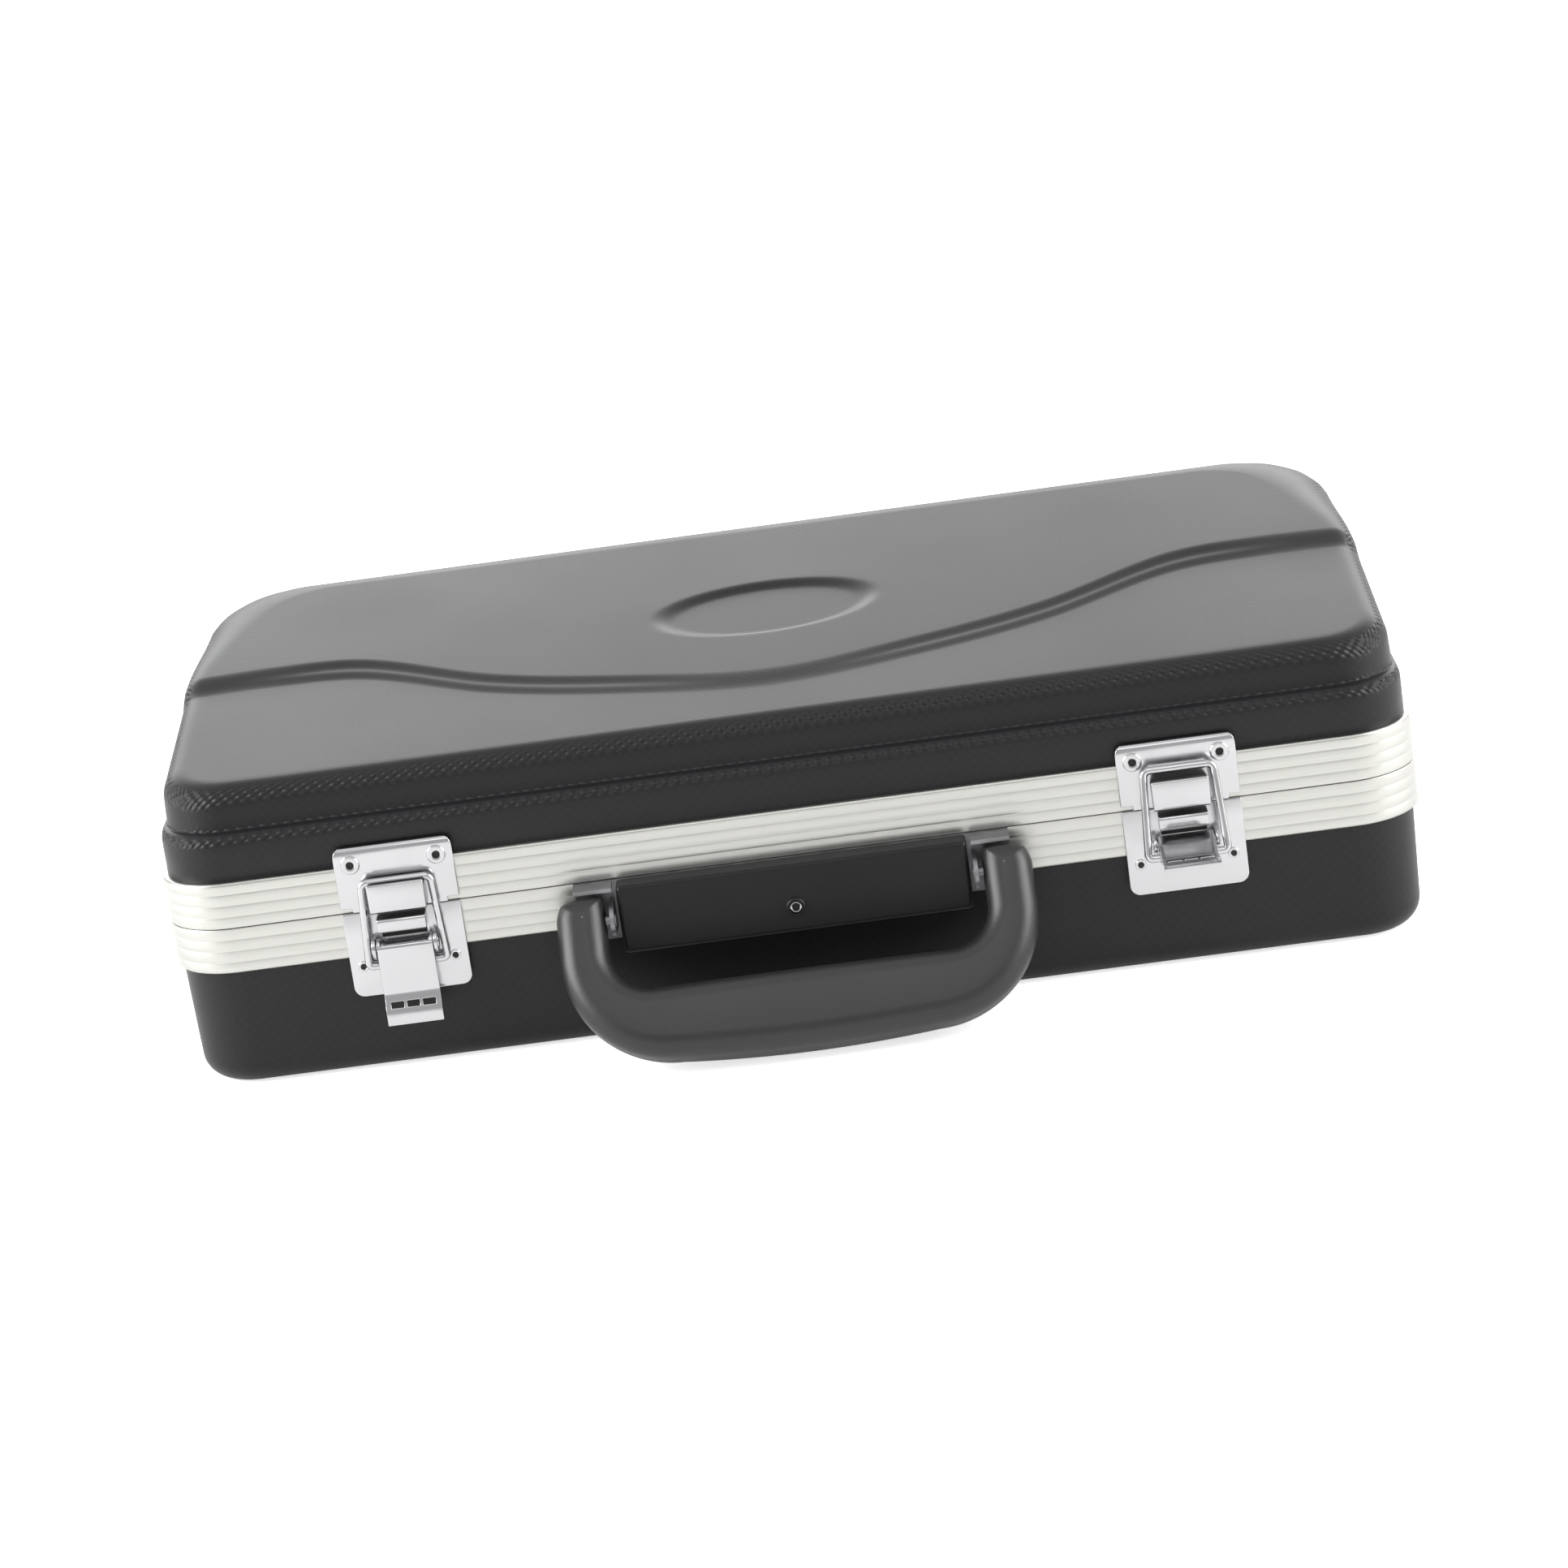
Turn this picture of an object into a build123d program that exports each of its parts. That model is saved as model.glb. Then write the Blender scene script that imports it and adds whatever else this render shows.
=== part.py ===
"""Moulded hard case for a clarinet, with aluminium valances, two draw latches and a carrying handle.

Millimetres, +Z up. The origin is the middle of the flat underside. +X runs to the right along the
case's length, -Y is the front with the latches and the handle, and +Y is the back with the hinges.
"""

from build123d import *
import math
import os

# ---------------------------------------------------------------- driving dimensions: the case
case_length = 360.0
case_depth = 164.0
corner_radius = 20.0
seam_height = 49.0
seam_gap = 0.2
shell_wall = 2.5
shell_draft = 1.5
base_edge_radius = 7.5
cut_margin = 1.0
upright_share = 0.9

# ---------------------------------------------------------------- the aluminium valances
valance_height = 13.4
valance_wall = 1.6
valance_web = 1.2
valance_lip_wall = 1.2
valance_lip_length = 8.0
valance_tongue_height = 1.4
tongue_clearance = 0.4
rib_groove_depth = 0.4
rib_groove_width = 0.7
rib_groove_count = 3

# ---------------------------------------------------------------- the lid's moulded form
ledge_height = 76.0
ledge_step_front = 4.5
ledge_step_end = 1.6
ledge_radius = 1.2
crease_height = 88.0
front_panel_rise = 0.127
rear_panel_lift = 1.9
rear_panel_rise = 0.145
back_panel_drop = 13.0
back_round_radius = 16.0
lid_edge_radius = 5.0
wave_edge_radius = 0.6
terrace_lift = 1.1
terrace_depth = 5.5
lid_top_wall = 3.0
oval_length = 66.0
oval_width = 37.0
oval_depth = 1.2
oval_centre_y = 3.0
wave_end_y = 4.3
wave_crest_x = 148.0
wave_crest_y = 5.4
wave_shoulder_x = 120.0
wave_shoulder_y = 1.8
wave_flank_x = 82.0
wave_flank_y = -21.0
wave_bend_x = 45.0
wave_bend_y = -34.0
wave_trough_y = -43.0
wave_overrun = 5.0

# ---------------------------------------------------------------- draw latches
latch_end_distance = 68.7
latch_width = 34.0
latch_sheet = 1.0
latch_corner_radius = 3.0
latch_plate_drop = 25.0
catch_plate_rise = 19.4
catch_rivet_rise = 14.4
catch_rivet_spacing = 24.6
catch_rivet_radius = 2.4
plate_rivet_drop = 16.0
plate_rivet_spacing = 26.4
plate_rivet_radius = 1.5
rivet_head_height = 0.8
rivet_shank_radius = 1.0
catch_width = 16.2
catch_bottom_rise = 0.8
catch_floor_rise = 8.2
catch_lip_rise = 9.6
catch_lip_wall = 1.2
catch_lip_gap = 1.9
catch_lip_depth = 3.0
catch_foot_depth = 1.0
lever_pivot_drop = 10.0
lever_pivot_reach = 4.4
lever_pin_radius = 1.2
lever_width = 16.0
lever_sheet = 1.0
lever_face_reach = 1.8
lever_top_rise = 1.2
lever_length = 13.5
lever_lip_length = 8.5
lever_lip_reach = 2.2
lever_boss_radius = 2.9
lever_slot_width = 3.0
lever_slot_height = 1.5
lever_slot_gap = 1.4
lever_slot_cut = 3.0
bail_crank = 5.5
bail_inboard = 0.8
bail_boss_radius = 2.0
bail_wire_radius = 1.1
bail_half_width_top = 9.9
bail_half_width_bottom = 11.3
bail_bend_radius = 1.3
bail_corner_radius = 2.0
bail_end_gap = 0.2
bar_reach = 3.7
bar_gap = 0.1
ear_radius = 3.2
ear_sheet = 1.0
pin_head_radius = 1.8
pin_head_height = 0.3
running_clearance = 0.05
part_clearance = 0.3
lever_open_angle = 78.0
bail_ratio = -0.865

# ---------------------------------------------------------------- carrying handle
handle_width = 135.0
handle_leg_width = 14.0
handle_leg_thickness = 13.0
handle_grip_thickness = 18.0
handle_grip_height = 22.3
handle_reach = 44.0
handle_belly_sag = 1.5
handle_corner_radius = 31.3
handle_inner_radius = 12.0
handle_edge_radius = 6.0
handle_pivot_height = 39.6
handle_pivot_reach = 9.3
handle_tilt = 34.0
handle_pin_radius = 1.8
handle_pin_depth = 5.0
bracket_end_inset = 5.5
bracket_height = 17.2
bracket_sheet = 1.2
bracket_ear_gap = 1.3
bracket_ear_radius = 4.5
bracket_flange_depth = 8.0
cover_end_gap = 1.2
cover_height = 20.0
cover_depth = 7.2
cover_wall = 2.0
cover_edge_radius = 1.2
cover_boss_radius = 3.5
screw_drop = 12.5
screw_head_radius = 2.8
screw_head_height = 0.9
screw_shank_radius = 1.5
screw_socket_radius = 1.1
bracket_rivet_spacing = 60.0
bracket_rivet_radius = 3.0

# ---------------------------------------------------------------- hinges
hinge_end_distance = 75.0
hinge_width = 32.0
hinge_leaf_height = 11.5
hinge_sheet = 0.9
hinge_barrel_radius = 2.4
hinge_pin_radius = 1.2
hinge_knuckle = 10.4
hinge_knuckle_gap = 0.3
hinge_knuckle_count = 3
hinge_leaf_start = 1.0
hinge_axis_gap = 0.1
hinge_rivet_spacing = 20.0
hinge_rivet_radius = 2.1
hinge_rivet_drop = 7.5

# ---------------------------------------------------------------- fitted lining
insert_gap = 0.3
insert_draft_room = 1.2
insert_top_drop = 2.6
joint_trough_length = 236.0
joint_trough_width = 42.0
joint_trough_depth = 33.0
joint_trough_y = 50.0
middle_trough_width = 34.0
middle_trough_depth = 30.0
mouthpiece_trough_length = 98.0
barrel_trough_length = 72.0
reed_trough_length = 48.0
trough_rib = 9.0
bell_trough_length = 112.0
bell_trough_width = 84.0
bell_trough_depth = 38.0
liner_gap = 0.3
liner_draft_room = 1.6
liner_rim = 9.0
liner_top = 6.0
liner_bottom_rise = 4.0

# ---------------------------------------------------------------- places worked out from the sizes
base_top = seam_height - seam_gap / 2
lid_bottom = seam_height + seam_gap / 2
base_valance_bottom = base_top - valance_height
lid_valance_top = lid_bottom + valance_height
front_y = -case_depth / 2
back_y = case_depth / 2
shell_inset = valance_wall
cavity_inset = shell_inset + shell_wall
lip_inset = cavity_inset + valance_lip_wall

front_crease_y = front_y + shell_inset + ledge_step_front
hinge_axis_y = back_y + hinge_sheet + hinge_barrel_radius + hinge_axis_gap
pivot_y = front_y - lever_pivot_reach
pivot_z = seam_height - lever_pivot_drop
bail_pivot_y = pivot_y + bail_inboard
bail_pivot_z = pivot_z - bail_crank
catch_floor = seam_height + catch_floor_rise
bar_y = front_y - bar_reach
bar_z = catch_floor + bail_wire_radius + bar_gap
handle_pivot_y = front_y - handle_pivot_reach
latch_sides = {"left": -1, "right": 1}
latch_offset = case_length / 2 - latch_end_distance
hinge_offset = case_length / 2 - hinge_end_distance
leg_inner = handle_width / 2 - handle_leg_width
leg_mid = handle_width / 2 - handle_leg_width / 2
bracket_width = handle_width - 2 * bracket_end_inset
bracket_ear_half_gap = leg_inner - bracket_ear_gap - bracket_sheet
cover_width = 2 * (bracket_ear_half_gap - cover_end_gap)


def front_panel_height(y):
    """Height of the lid's lower, front panel at a place across the depth."""
    return crease_height + front_panel_rise * (y - front_crease_y)


def rear_panel_height(y):
    """Height of the raised rear panel, which meets the wave-shaped step."""
    return front_panel_height(wave_trough_y) + rear_panel_lift + rear_panel_rise * (y - wave_trough_y)


def outline(inset_end, inset_front, height):
    """Sketch of the case's rounded plan outline, drawn in by the given insets, at a height."""
    with BuildSketch(Plane.XY.offset(height)) as plan:
        RectangleRounded(
            case_length - 2 * inset_end,
            case_depth - 2 * inset_front,
            corner_radius - min(inset_end, inset_front),
        )
    return plan.sketch


def ring(outer_inset, inner_inset, low, high):
    """A ring of the plan outline between two insets and two heights."""
    with BuildPart() as hoop:
        add(outline(outer_inset, outer_inset, low))
        extrude(amount=high - low)
        add(outline(inner_inset, inner_inset, low))
        extrude(amount=high - low, mode=Mode.SUBTRACT)
    return hoop.part


def rib_grooves(valance_low):
    """The grooves between a valance's ribs, as rings that are cut from its outer face."""
    with BuildPart() as grooves:
        for rib in range(rib_groove_count):
            groove_z = valance_low + valance_height * (rib + 1) / (rib_groove_count + 1)
            add(
                ring(
                    -cut_margin,
                    rib_groove_depth,
                    groove_z - rib_groove_width / 2,
                    groove_z + rib_groove_width / 2,
                )
            )
    return grooves.part


def front_box(x, width, y_near, y_far, low, high, mode=Mode.ADD):
    """A box given by its middle along X and its limits along Y and Z."""
    with Locations((x, (y_near + y_far) / 2, (low + high) / 2)):
        Box(width, abs(y_far - y_near), high - low, mode=mode)


def rod_x(x_start, x_end, y, z, radius, mode=Mode.ADD):
    """A round rod along X between two places, given in either order."""
    with Locations(Location(((x_start + x_end) / 2, y, z), (0, 90, 0))):
        Cylinder(radius, abs(x_end - x_start), mode=mode)


def rod_y(x, y_start, y_end, z, radius, mode=Mode.ADD):
    """A round rod along Y between two places, given in either order."""
    with Locations(Location((x, (y_start + y_end) / 2, z), (90, 0, 0))):
        Cylinder(radius, abs(y_end - y_start), mode=mode)


def save(part, name):
    """Label a finished piece and write it to its own file."""
    part.label = name
    export_step(part, "parts/" + name + ".step")


def turned(part, angle, y, z):
    """A copy of a piece turned about a line along X, opening outwards for a positive angle."""
    return part.rotate(Axis((0, y, z), (-1, 0, 0)), angle)


os.makedirs("parts", exist_ok=True)

# ================================================================ lower half

# The lower shell is a drafted tub with a rounded bottom edge.
with BuildPart() as base_shell:
    add(outline(shell_inset, shell_inset, base_valance_bottom))
    extrude(amount=-base_valance_bottom, taper=shell_draft)
    fillet(base_shell.faces().sort_by(Axis.Z)[0].edges(), base_edge_radius)
    add(outline(shell_inset, shell_inset, base_valance_bottom))
    extrude(amount=valance_height - valance_web)
    add(outline(cavity_inset, cavity_inset, base_valance_bottom))
    extrude(amount=valance_height - valance_web, mode=Mode.SUBTRACT)
    add(outline(cavity_inset, cavity_inset, base_valance_bottom))
    extrude(amount=shell_wall - base_valance_bottom, taper=shell_draft, mode=Mode.SUBTRACT)
save(base_shell.part, "base_shell")

# The lower valance is a ribbed channel over the shell's rim, with a tongue that centres the lid.
with BuildPart() as base_valance:
    add(ring(0, valance_wall, base_valance_bottom, base_top))
    add(ring(valance_wall, lip_inset, base_top - valance_web, base_top))
    add(ring(cavity_inset, lip_inset, base_top - valance_lip_length, base_top + valance_tongue_height))
    add(rib_grooves(base_valance_bottom), mode=Mode.SUBTRACT)
save(base_valance.part, "base_valance")

# The lining is six foam blocks under plush, side by side, each with a hollow for one piece of the
# instrument: its two joints, mouthpiece, barrel and bell, and its reeds.
insert_top = base_top - insert_top_drop
insert_bottom = shell_wall + insert_gap
insert_inset = lip_inset + insert_gap
insert_side_inset = insert_inset + insert_draft_room
insert_half_length = case_length / 2 - insert_inset
bell_x = insert_half_length - trough_rib - bell_trough_width / 2
joint_x = -insert_half_length + trough_rib + joint_trough_length / 2
mouthpiece_x = -insert_half_length + trough_rib + mouthpiece_trough_length / 2
barrel_x = mouthpiece_x + (mouthpiece_trough_length + barrel_trough_length) / 2 + trough_rib
reed_x = barrel_x + (barrel_trough_length + reed_trough_length) / 2 + trough_rib
block_split_y = (joint_trough_y - joint_trough_width / 2 + middle_trough_width / 2) / 2
bell_split_x = (joint_x + joint_trough_length / 2 + bell_x - bell_trough_width / 2) / 2
barrel_split_x = mouthpiece_x + (mouthpiece_trough_length + trough_rib) / 2
reed_split_x = barrel_x + (barrel_trough_length + trough_rib) / 2


def trough(x, y, length, width, depth):
    """A trough along X with a half-round floor, cut down from the lining's top."""
    floor_axis_z = insert_top - depth + width / 2
    with BuildPart() as cut:
        with BuildSketch(Plane.YZ.offset(x - length / 2)):
            with Locations((y, floor_axis_z)):
                Circle(width / 2)
            with Locations((y, (floor_axis_z + insert_top) / 2 + cut_margin)):
                Rectangle(width, insert_top - floor_axis_z + 2 * cut_margin)
        extrude(amount=length)
    return cut.part


def lining_block(x_low, x_high, y_low, y_high):
    """The part of the lining's outer form that lies between limits in plan."""
    with BuildPart() as block:
        add(outline(insert_side_inset, insert_side_inset, insert_bottom + base_edge_radius))
        extrude(amount=insert_top - insert_bottom - base_edge_radius)
        add(outline(insert_inset + base_edge_radius, insert_inset + base_edge_radius, insert_bottom))
        extrude(amount=base_edge_radius)
        with Locations(((x_low + x_high) / 2, (y_low + y_high) / 2, insert_top / 2)):
            Box(x_high - x_low - insert_gap, y_high - y_low - insert_gap, case_depth, mode=Mode.INTERSECT)
    return block.part


left_x = -case_length / 2
joint_blocks = {"lower_joint": -1, "upper_joint": 1}
for piece, joint_side in joint_blocks.items():
    near_y = joint_side * block_split_y
    far_y = joint_side * case_depth / 2
    joint_y = joint_side * joint_trough_y
    with BuildPart() as joint_block:
        add(lining_block(left_x, bell_split_x, min(near_y, far_y), max(near_y, far_y)))
        joint_trough = trough(joint_x, joint_y, joint_trough_length, joint_trough_width, joint_trough_depth)
        add(joint_trough, mode=Mode.SUBTRACT)
    save(joint_block.part, "lining_" + piece)

middle_blocks = {
    "mouthpiece": (left_x, barrel_split_x, mouthpiece_x, mouthpiece_trough_length),
    "barrel": (barrel_split_x, reed_split_x, barrel_x, barrel_trough_length),
    "reeds": (reed_split_x, bell_split_x, reed_x, reed_trough_length),
}
for piece, (block_left, block_right, middle_x, middle_length) in middle_blocks.items():
    with BuildPart() as middle_block:
        add(lining_block(block_left, block_right, -block_split_y, block_split_y))
        middle_trough = trough(middle_x, 0, middle_length, middle_trough_width, middle_trough_depth)
        add(middle_trough, mode=Mode.SUBTRACT)
    save(middle_block.part, "lining_" + piece)

with BuildPart() as lining_bell:
    add(lining_block(bell_split_x, case_length / 2, front_y, back_y))
    front_box(
        bell_x,
        bell_trough_width,
        -bell_trough_length / 2,
        bell_trough_length / 2,
        insert_top - bell_trough_depth,
        insert_top + cut_margin,
        mode=Mode.SUBTRACT,
    )
save(lining_bell.part, "lining_bell")

# ================================================================ upper half

wall_inset_end = shell_inset + ledge_step_end
rear_top_y = back_y - back_panel_drop
lid_rim = lid_bottom + valance_web


def panel_profile(height_at, drop):
    """Side profile of the lid up to a panel's surface, lowered by a wall's thickness."""
    with BuildSketch(Plane.YZ) as profile:
        with BuildLine():
            Polyline(
                (front_y, lid_rim),
                (front_y, height_at(front_y) - drop),
                (rear_top_y, height_at(rear_top_y) - drop),
                (back_y, height_at(rear_top_y) - back_panel_drop - drop),
                (back_y, lid_rim),
                close=True,
            )
        make_face()
        fillet(
            profile.vertices().group_by(Axis.Y)[-2].sort_by(Axis.Y)[-1:],
            back_round_radius,
        )
    return profile.sketch


def panel_body(height_at, drop, inset_end, inset_front, inset_radius, edge_radius=0):
    """The lid's block under one of its panels: the side profile run along X, cut to the plan."""
    with BuildPart() as block:
        extrude(panel_profile(height_at, drop), amount=case_length / 2, both=True)
        with BuildSketch(Plane.XY.offset(lid_rim)):
            RectangleRounded(
                case_length - 2 * inset_end,
                case_depth - 2 * inset_front,
                corner_radius - inset_radius,
            )
        extrude(amount=case_depth, taper=shell_draft, mode=Mode.INTERSECT)
        if edge_radius:
            upper_edges = [
                edge
                for edge in block.edges()
                if edge.center().Z > ledge_height and abs(edge.tangent_at(0.5).Z) < upright_share
            ]
            fillet(upper_edges, edge_radius)
    return block.part


def terrace_height(y):
    """Height of the narrow terrace that runs in front of the raised panel, halfway up the step."""
    return front_panel_height(y) + terrace_lift


def wave_region(forward):
    """The plan area behind the wave-shaped step, as a tall block, moved forward by the given length."""
    with BuildPart() as behind:
        with BuildSketch():
            with BuildLine():
                half = case_length / 2 + wave_overrun
                wave = Spline(
                    (-half, wave_end_y - forward),
                    (-wave_crest_x, wave_crest_y - forward),
                    (-wave_shoulder_x, wave_shoulder_y - forward),
                    (-wave_flank_x, wave_flank_y - forward),
                    (-wave_bend_x, wave_bend_y - forward),
                    (0, wave_trough_y - forward),
                    (wave_bend_x, wave_bend_y - forward),
                    (wave_flank_x, wave_flank_y - forward),
                    (wave_shoulder_x, wave_shoulder_y - forward),
                    (wave_crest_x, wave_crest_y - forward),
                    (half, wave_end_y - forward),
                )
                behind_y = back_y + wave_overrun
                Polyline(wave @ 1, (half, behind_y), (-half, behind_y), wave @ 0)
            make_face()
        extrude(amount=case_depth)
    return behind.part



def stepped_panel(height_at, forward):
    """A panel of the lid that ends at the front in the wave-shaped step, with a rounded top edge."""
    with BuildPart() as panel:
        add(panel_body(height_at, 0, wall_inset_end, shell_inset, shell_inset, lid_edge_radius))
        add(wave_region(forward), mode=Mode.INTERSECT)
        front_edges = panel.edges().filter_by(lambda edge: edge.center().Y < 0)
        step_edges = front_edges.filter_by(lambda edge: edge.length > case_length / 2)
        fillet(step_edges.sort_by(Axis.Z)[-1], wave_edge_radius)
    return panel.part


# The lid's wall below the ledge is upright and stands in the upper valance.
with BuildPart() as lower_wall:
    add(outline(shell_inset, shell_inset, lid_rim))
    extrude(amount=ledge_height - lid_rim)
    fillet(lower_wall.faces().sort_by(Axis.Z)[-1].edges(), ledge_radius)

# The space inside the lid follows its outside at a wall's thickness.
with BuildPart() as lid_hollow:
    add(
        panel_body(
            front_panel_height,
            lid_top_wall,
            wall_inset_end + shell_wall,
            shell_inset + ledge_step_front + shell_wall,
            cavity_inset,
        )
    )
    add(outline(cavity_inset, cavity_inset, lid_rim))
    extrude(amount=ledge_height - shell_wall - lid_rim)

oval_slope = math.atan(rear_panel_rise)
oval_plane = Plane(
    origin=(0, oval_centre_y, rear_panel_height(oval_centre_y)),
    x_dir=(1, 0, 0),
    z_dir=(0, -math.sin(oval_slope), math.cos(oval_slope)),
)

# The lid shell steps in above a ledge, rises in a front panel to the wave-shaped step, and carries
# on in a higher rear panel that has an oval recess and rounds over at the back.
with BuildPart() as lid_shell:
    add(
        panel_body(
            front_panel_height,
            0,
            wall_inset_end,
            shell_inset + ledge_step_front,
            shell_inset,
            lid_edge_radius,
        )
    )
    add(stepped_panel(terrace_height, terrace_depth))
    add(stepped_panel(rear_panel_height, 0))
    add(lower_wall.part)
    add(lid_hollow.part, mode=Mode.SUBTRACT)
    with BuildSketch(oval_plane):
        Ellipse(oval_length / 2, oval_width / 2)
    extrude(amount=-oval_depth, mode=Mode.SUBTRACT)
save(lid_shell.part, "lid_shell")

# The upper valance mirrors the lower one and leaves room for the tongue inside it.
with BuildPart() as lid_valance:
    add(ring(0, valance_wall, lid_bottom, lid_valance_top))
    add(ring(valance_wall, cavity_inset - tongue_clearance, lid_bottom, lid_rim))
    add(rib_grooves(lid_bottom), mode=Mode.SUBTRACT)
save(lid_valance.part, "lid_valance")

# The lid's padded liner is a shallow tray, open downwards, that presses on the instrument.
liner_inset = shell_inset + ledge_step_front + shell_wall + liner_gap + liner_draft_room
tray_inset = liner_inset + liner_rim
with BuildPart() as lid_liner:
    add(panel_body(front_panel_height, lid_top_wall + liner_gap, liner_inset, liner_inset, liner_inset))
    tray_drop = lid_top_wall + liner_gap + liner_top
    tray = panel_body(front_panel_height, tray_drop, tray_inset, tray_inset, liner_inset + liner_rim / 2)
    add(tray, mode=Mode.SUBTRACT)
    add(outline(0, 0, lid_bottom))
    extrude(amount=liner_bottom_rise, mode=Mode.SUBTRACT)
save(lid_liner.part, "lid_liner")

# ================================================================ latches

face_y = pivot_y - lever_face_reach - lever_sheet
lever_top_z = pivot_z + lever_top_rise
lip_top_z = pivot_z - lever_length
lip_end_z = lip_top_z - lever_lip_length
lip_end_y = face_y - lever_lip_reach


def plate_rivet_holes(x, spacing, height):
    """Holes for the two rivets of the latch plate that is being made."""
    for rivet_side in (-1, 1):
        rod_y(
            x + rivet_side * spacing / 2,
            front_y - latch_sheet - cut_margin,
            front_y + cut_margin,
            height,
            rivet_shank_radius,
            Mode.SUBTRACT,
        )


def lever_flange(x):
    """One side of a lever's channel, with a boss round each of its two pivots."""
    with BuildPart() as flange:
        with BuildSketch(Plane.YZ.offset(x - lever_sheet / 2)):
            with Locations((pivot_y, pivot_z)):
                Circle(lever_boss_radius)
            with Locations((bail_pivot_y, bail_pivot_z)):
                Circle(bail_boss_radius)
            with BuildLine():
                Polyline(
                    (pivot_y, pivot_z),
                    (face_y, lever_top_z),
                    (face_y, lip_top_z),
                    (face_y + lever_sheet, lip_top_z),
                    (bail_pivot_y, bail_pivot_z - bail_boss_radius),
                    (bail_pivot_y + bail_boss_radius, bail_pivot_z),
                    (pivot_y + lever_boss_radius, pivot_z),
                    close=True,
                )
            make_face()
        extrude(amount=lever_sheet)
    return flange.part


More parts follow.
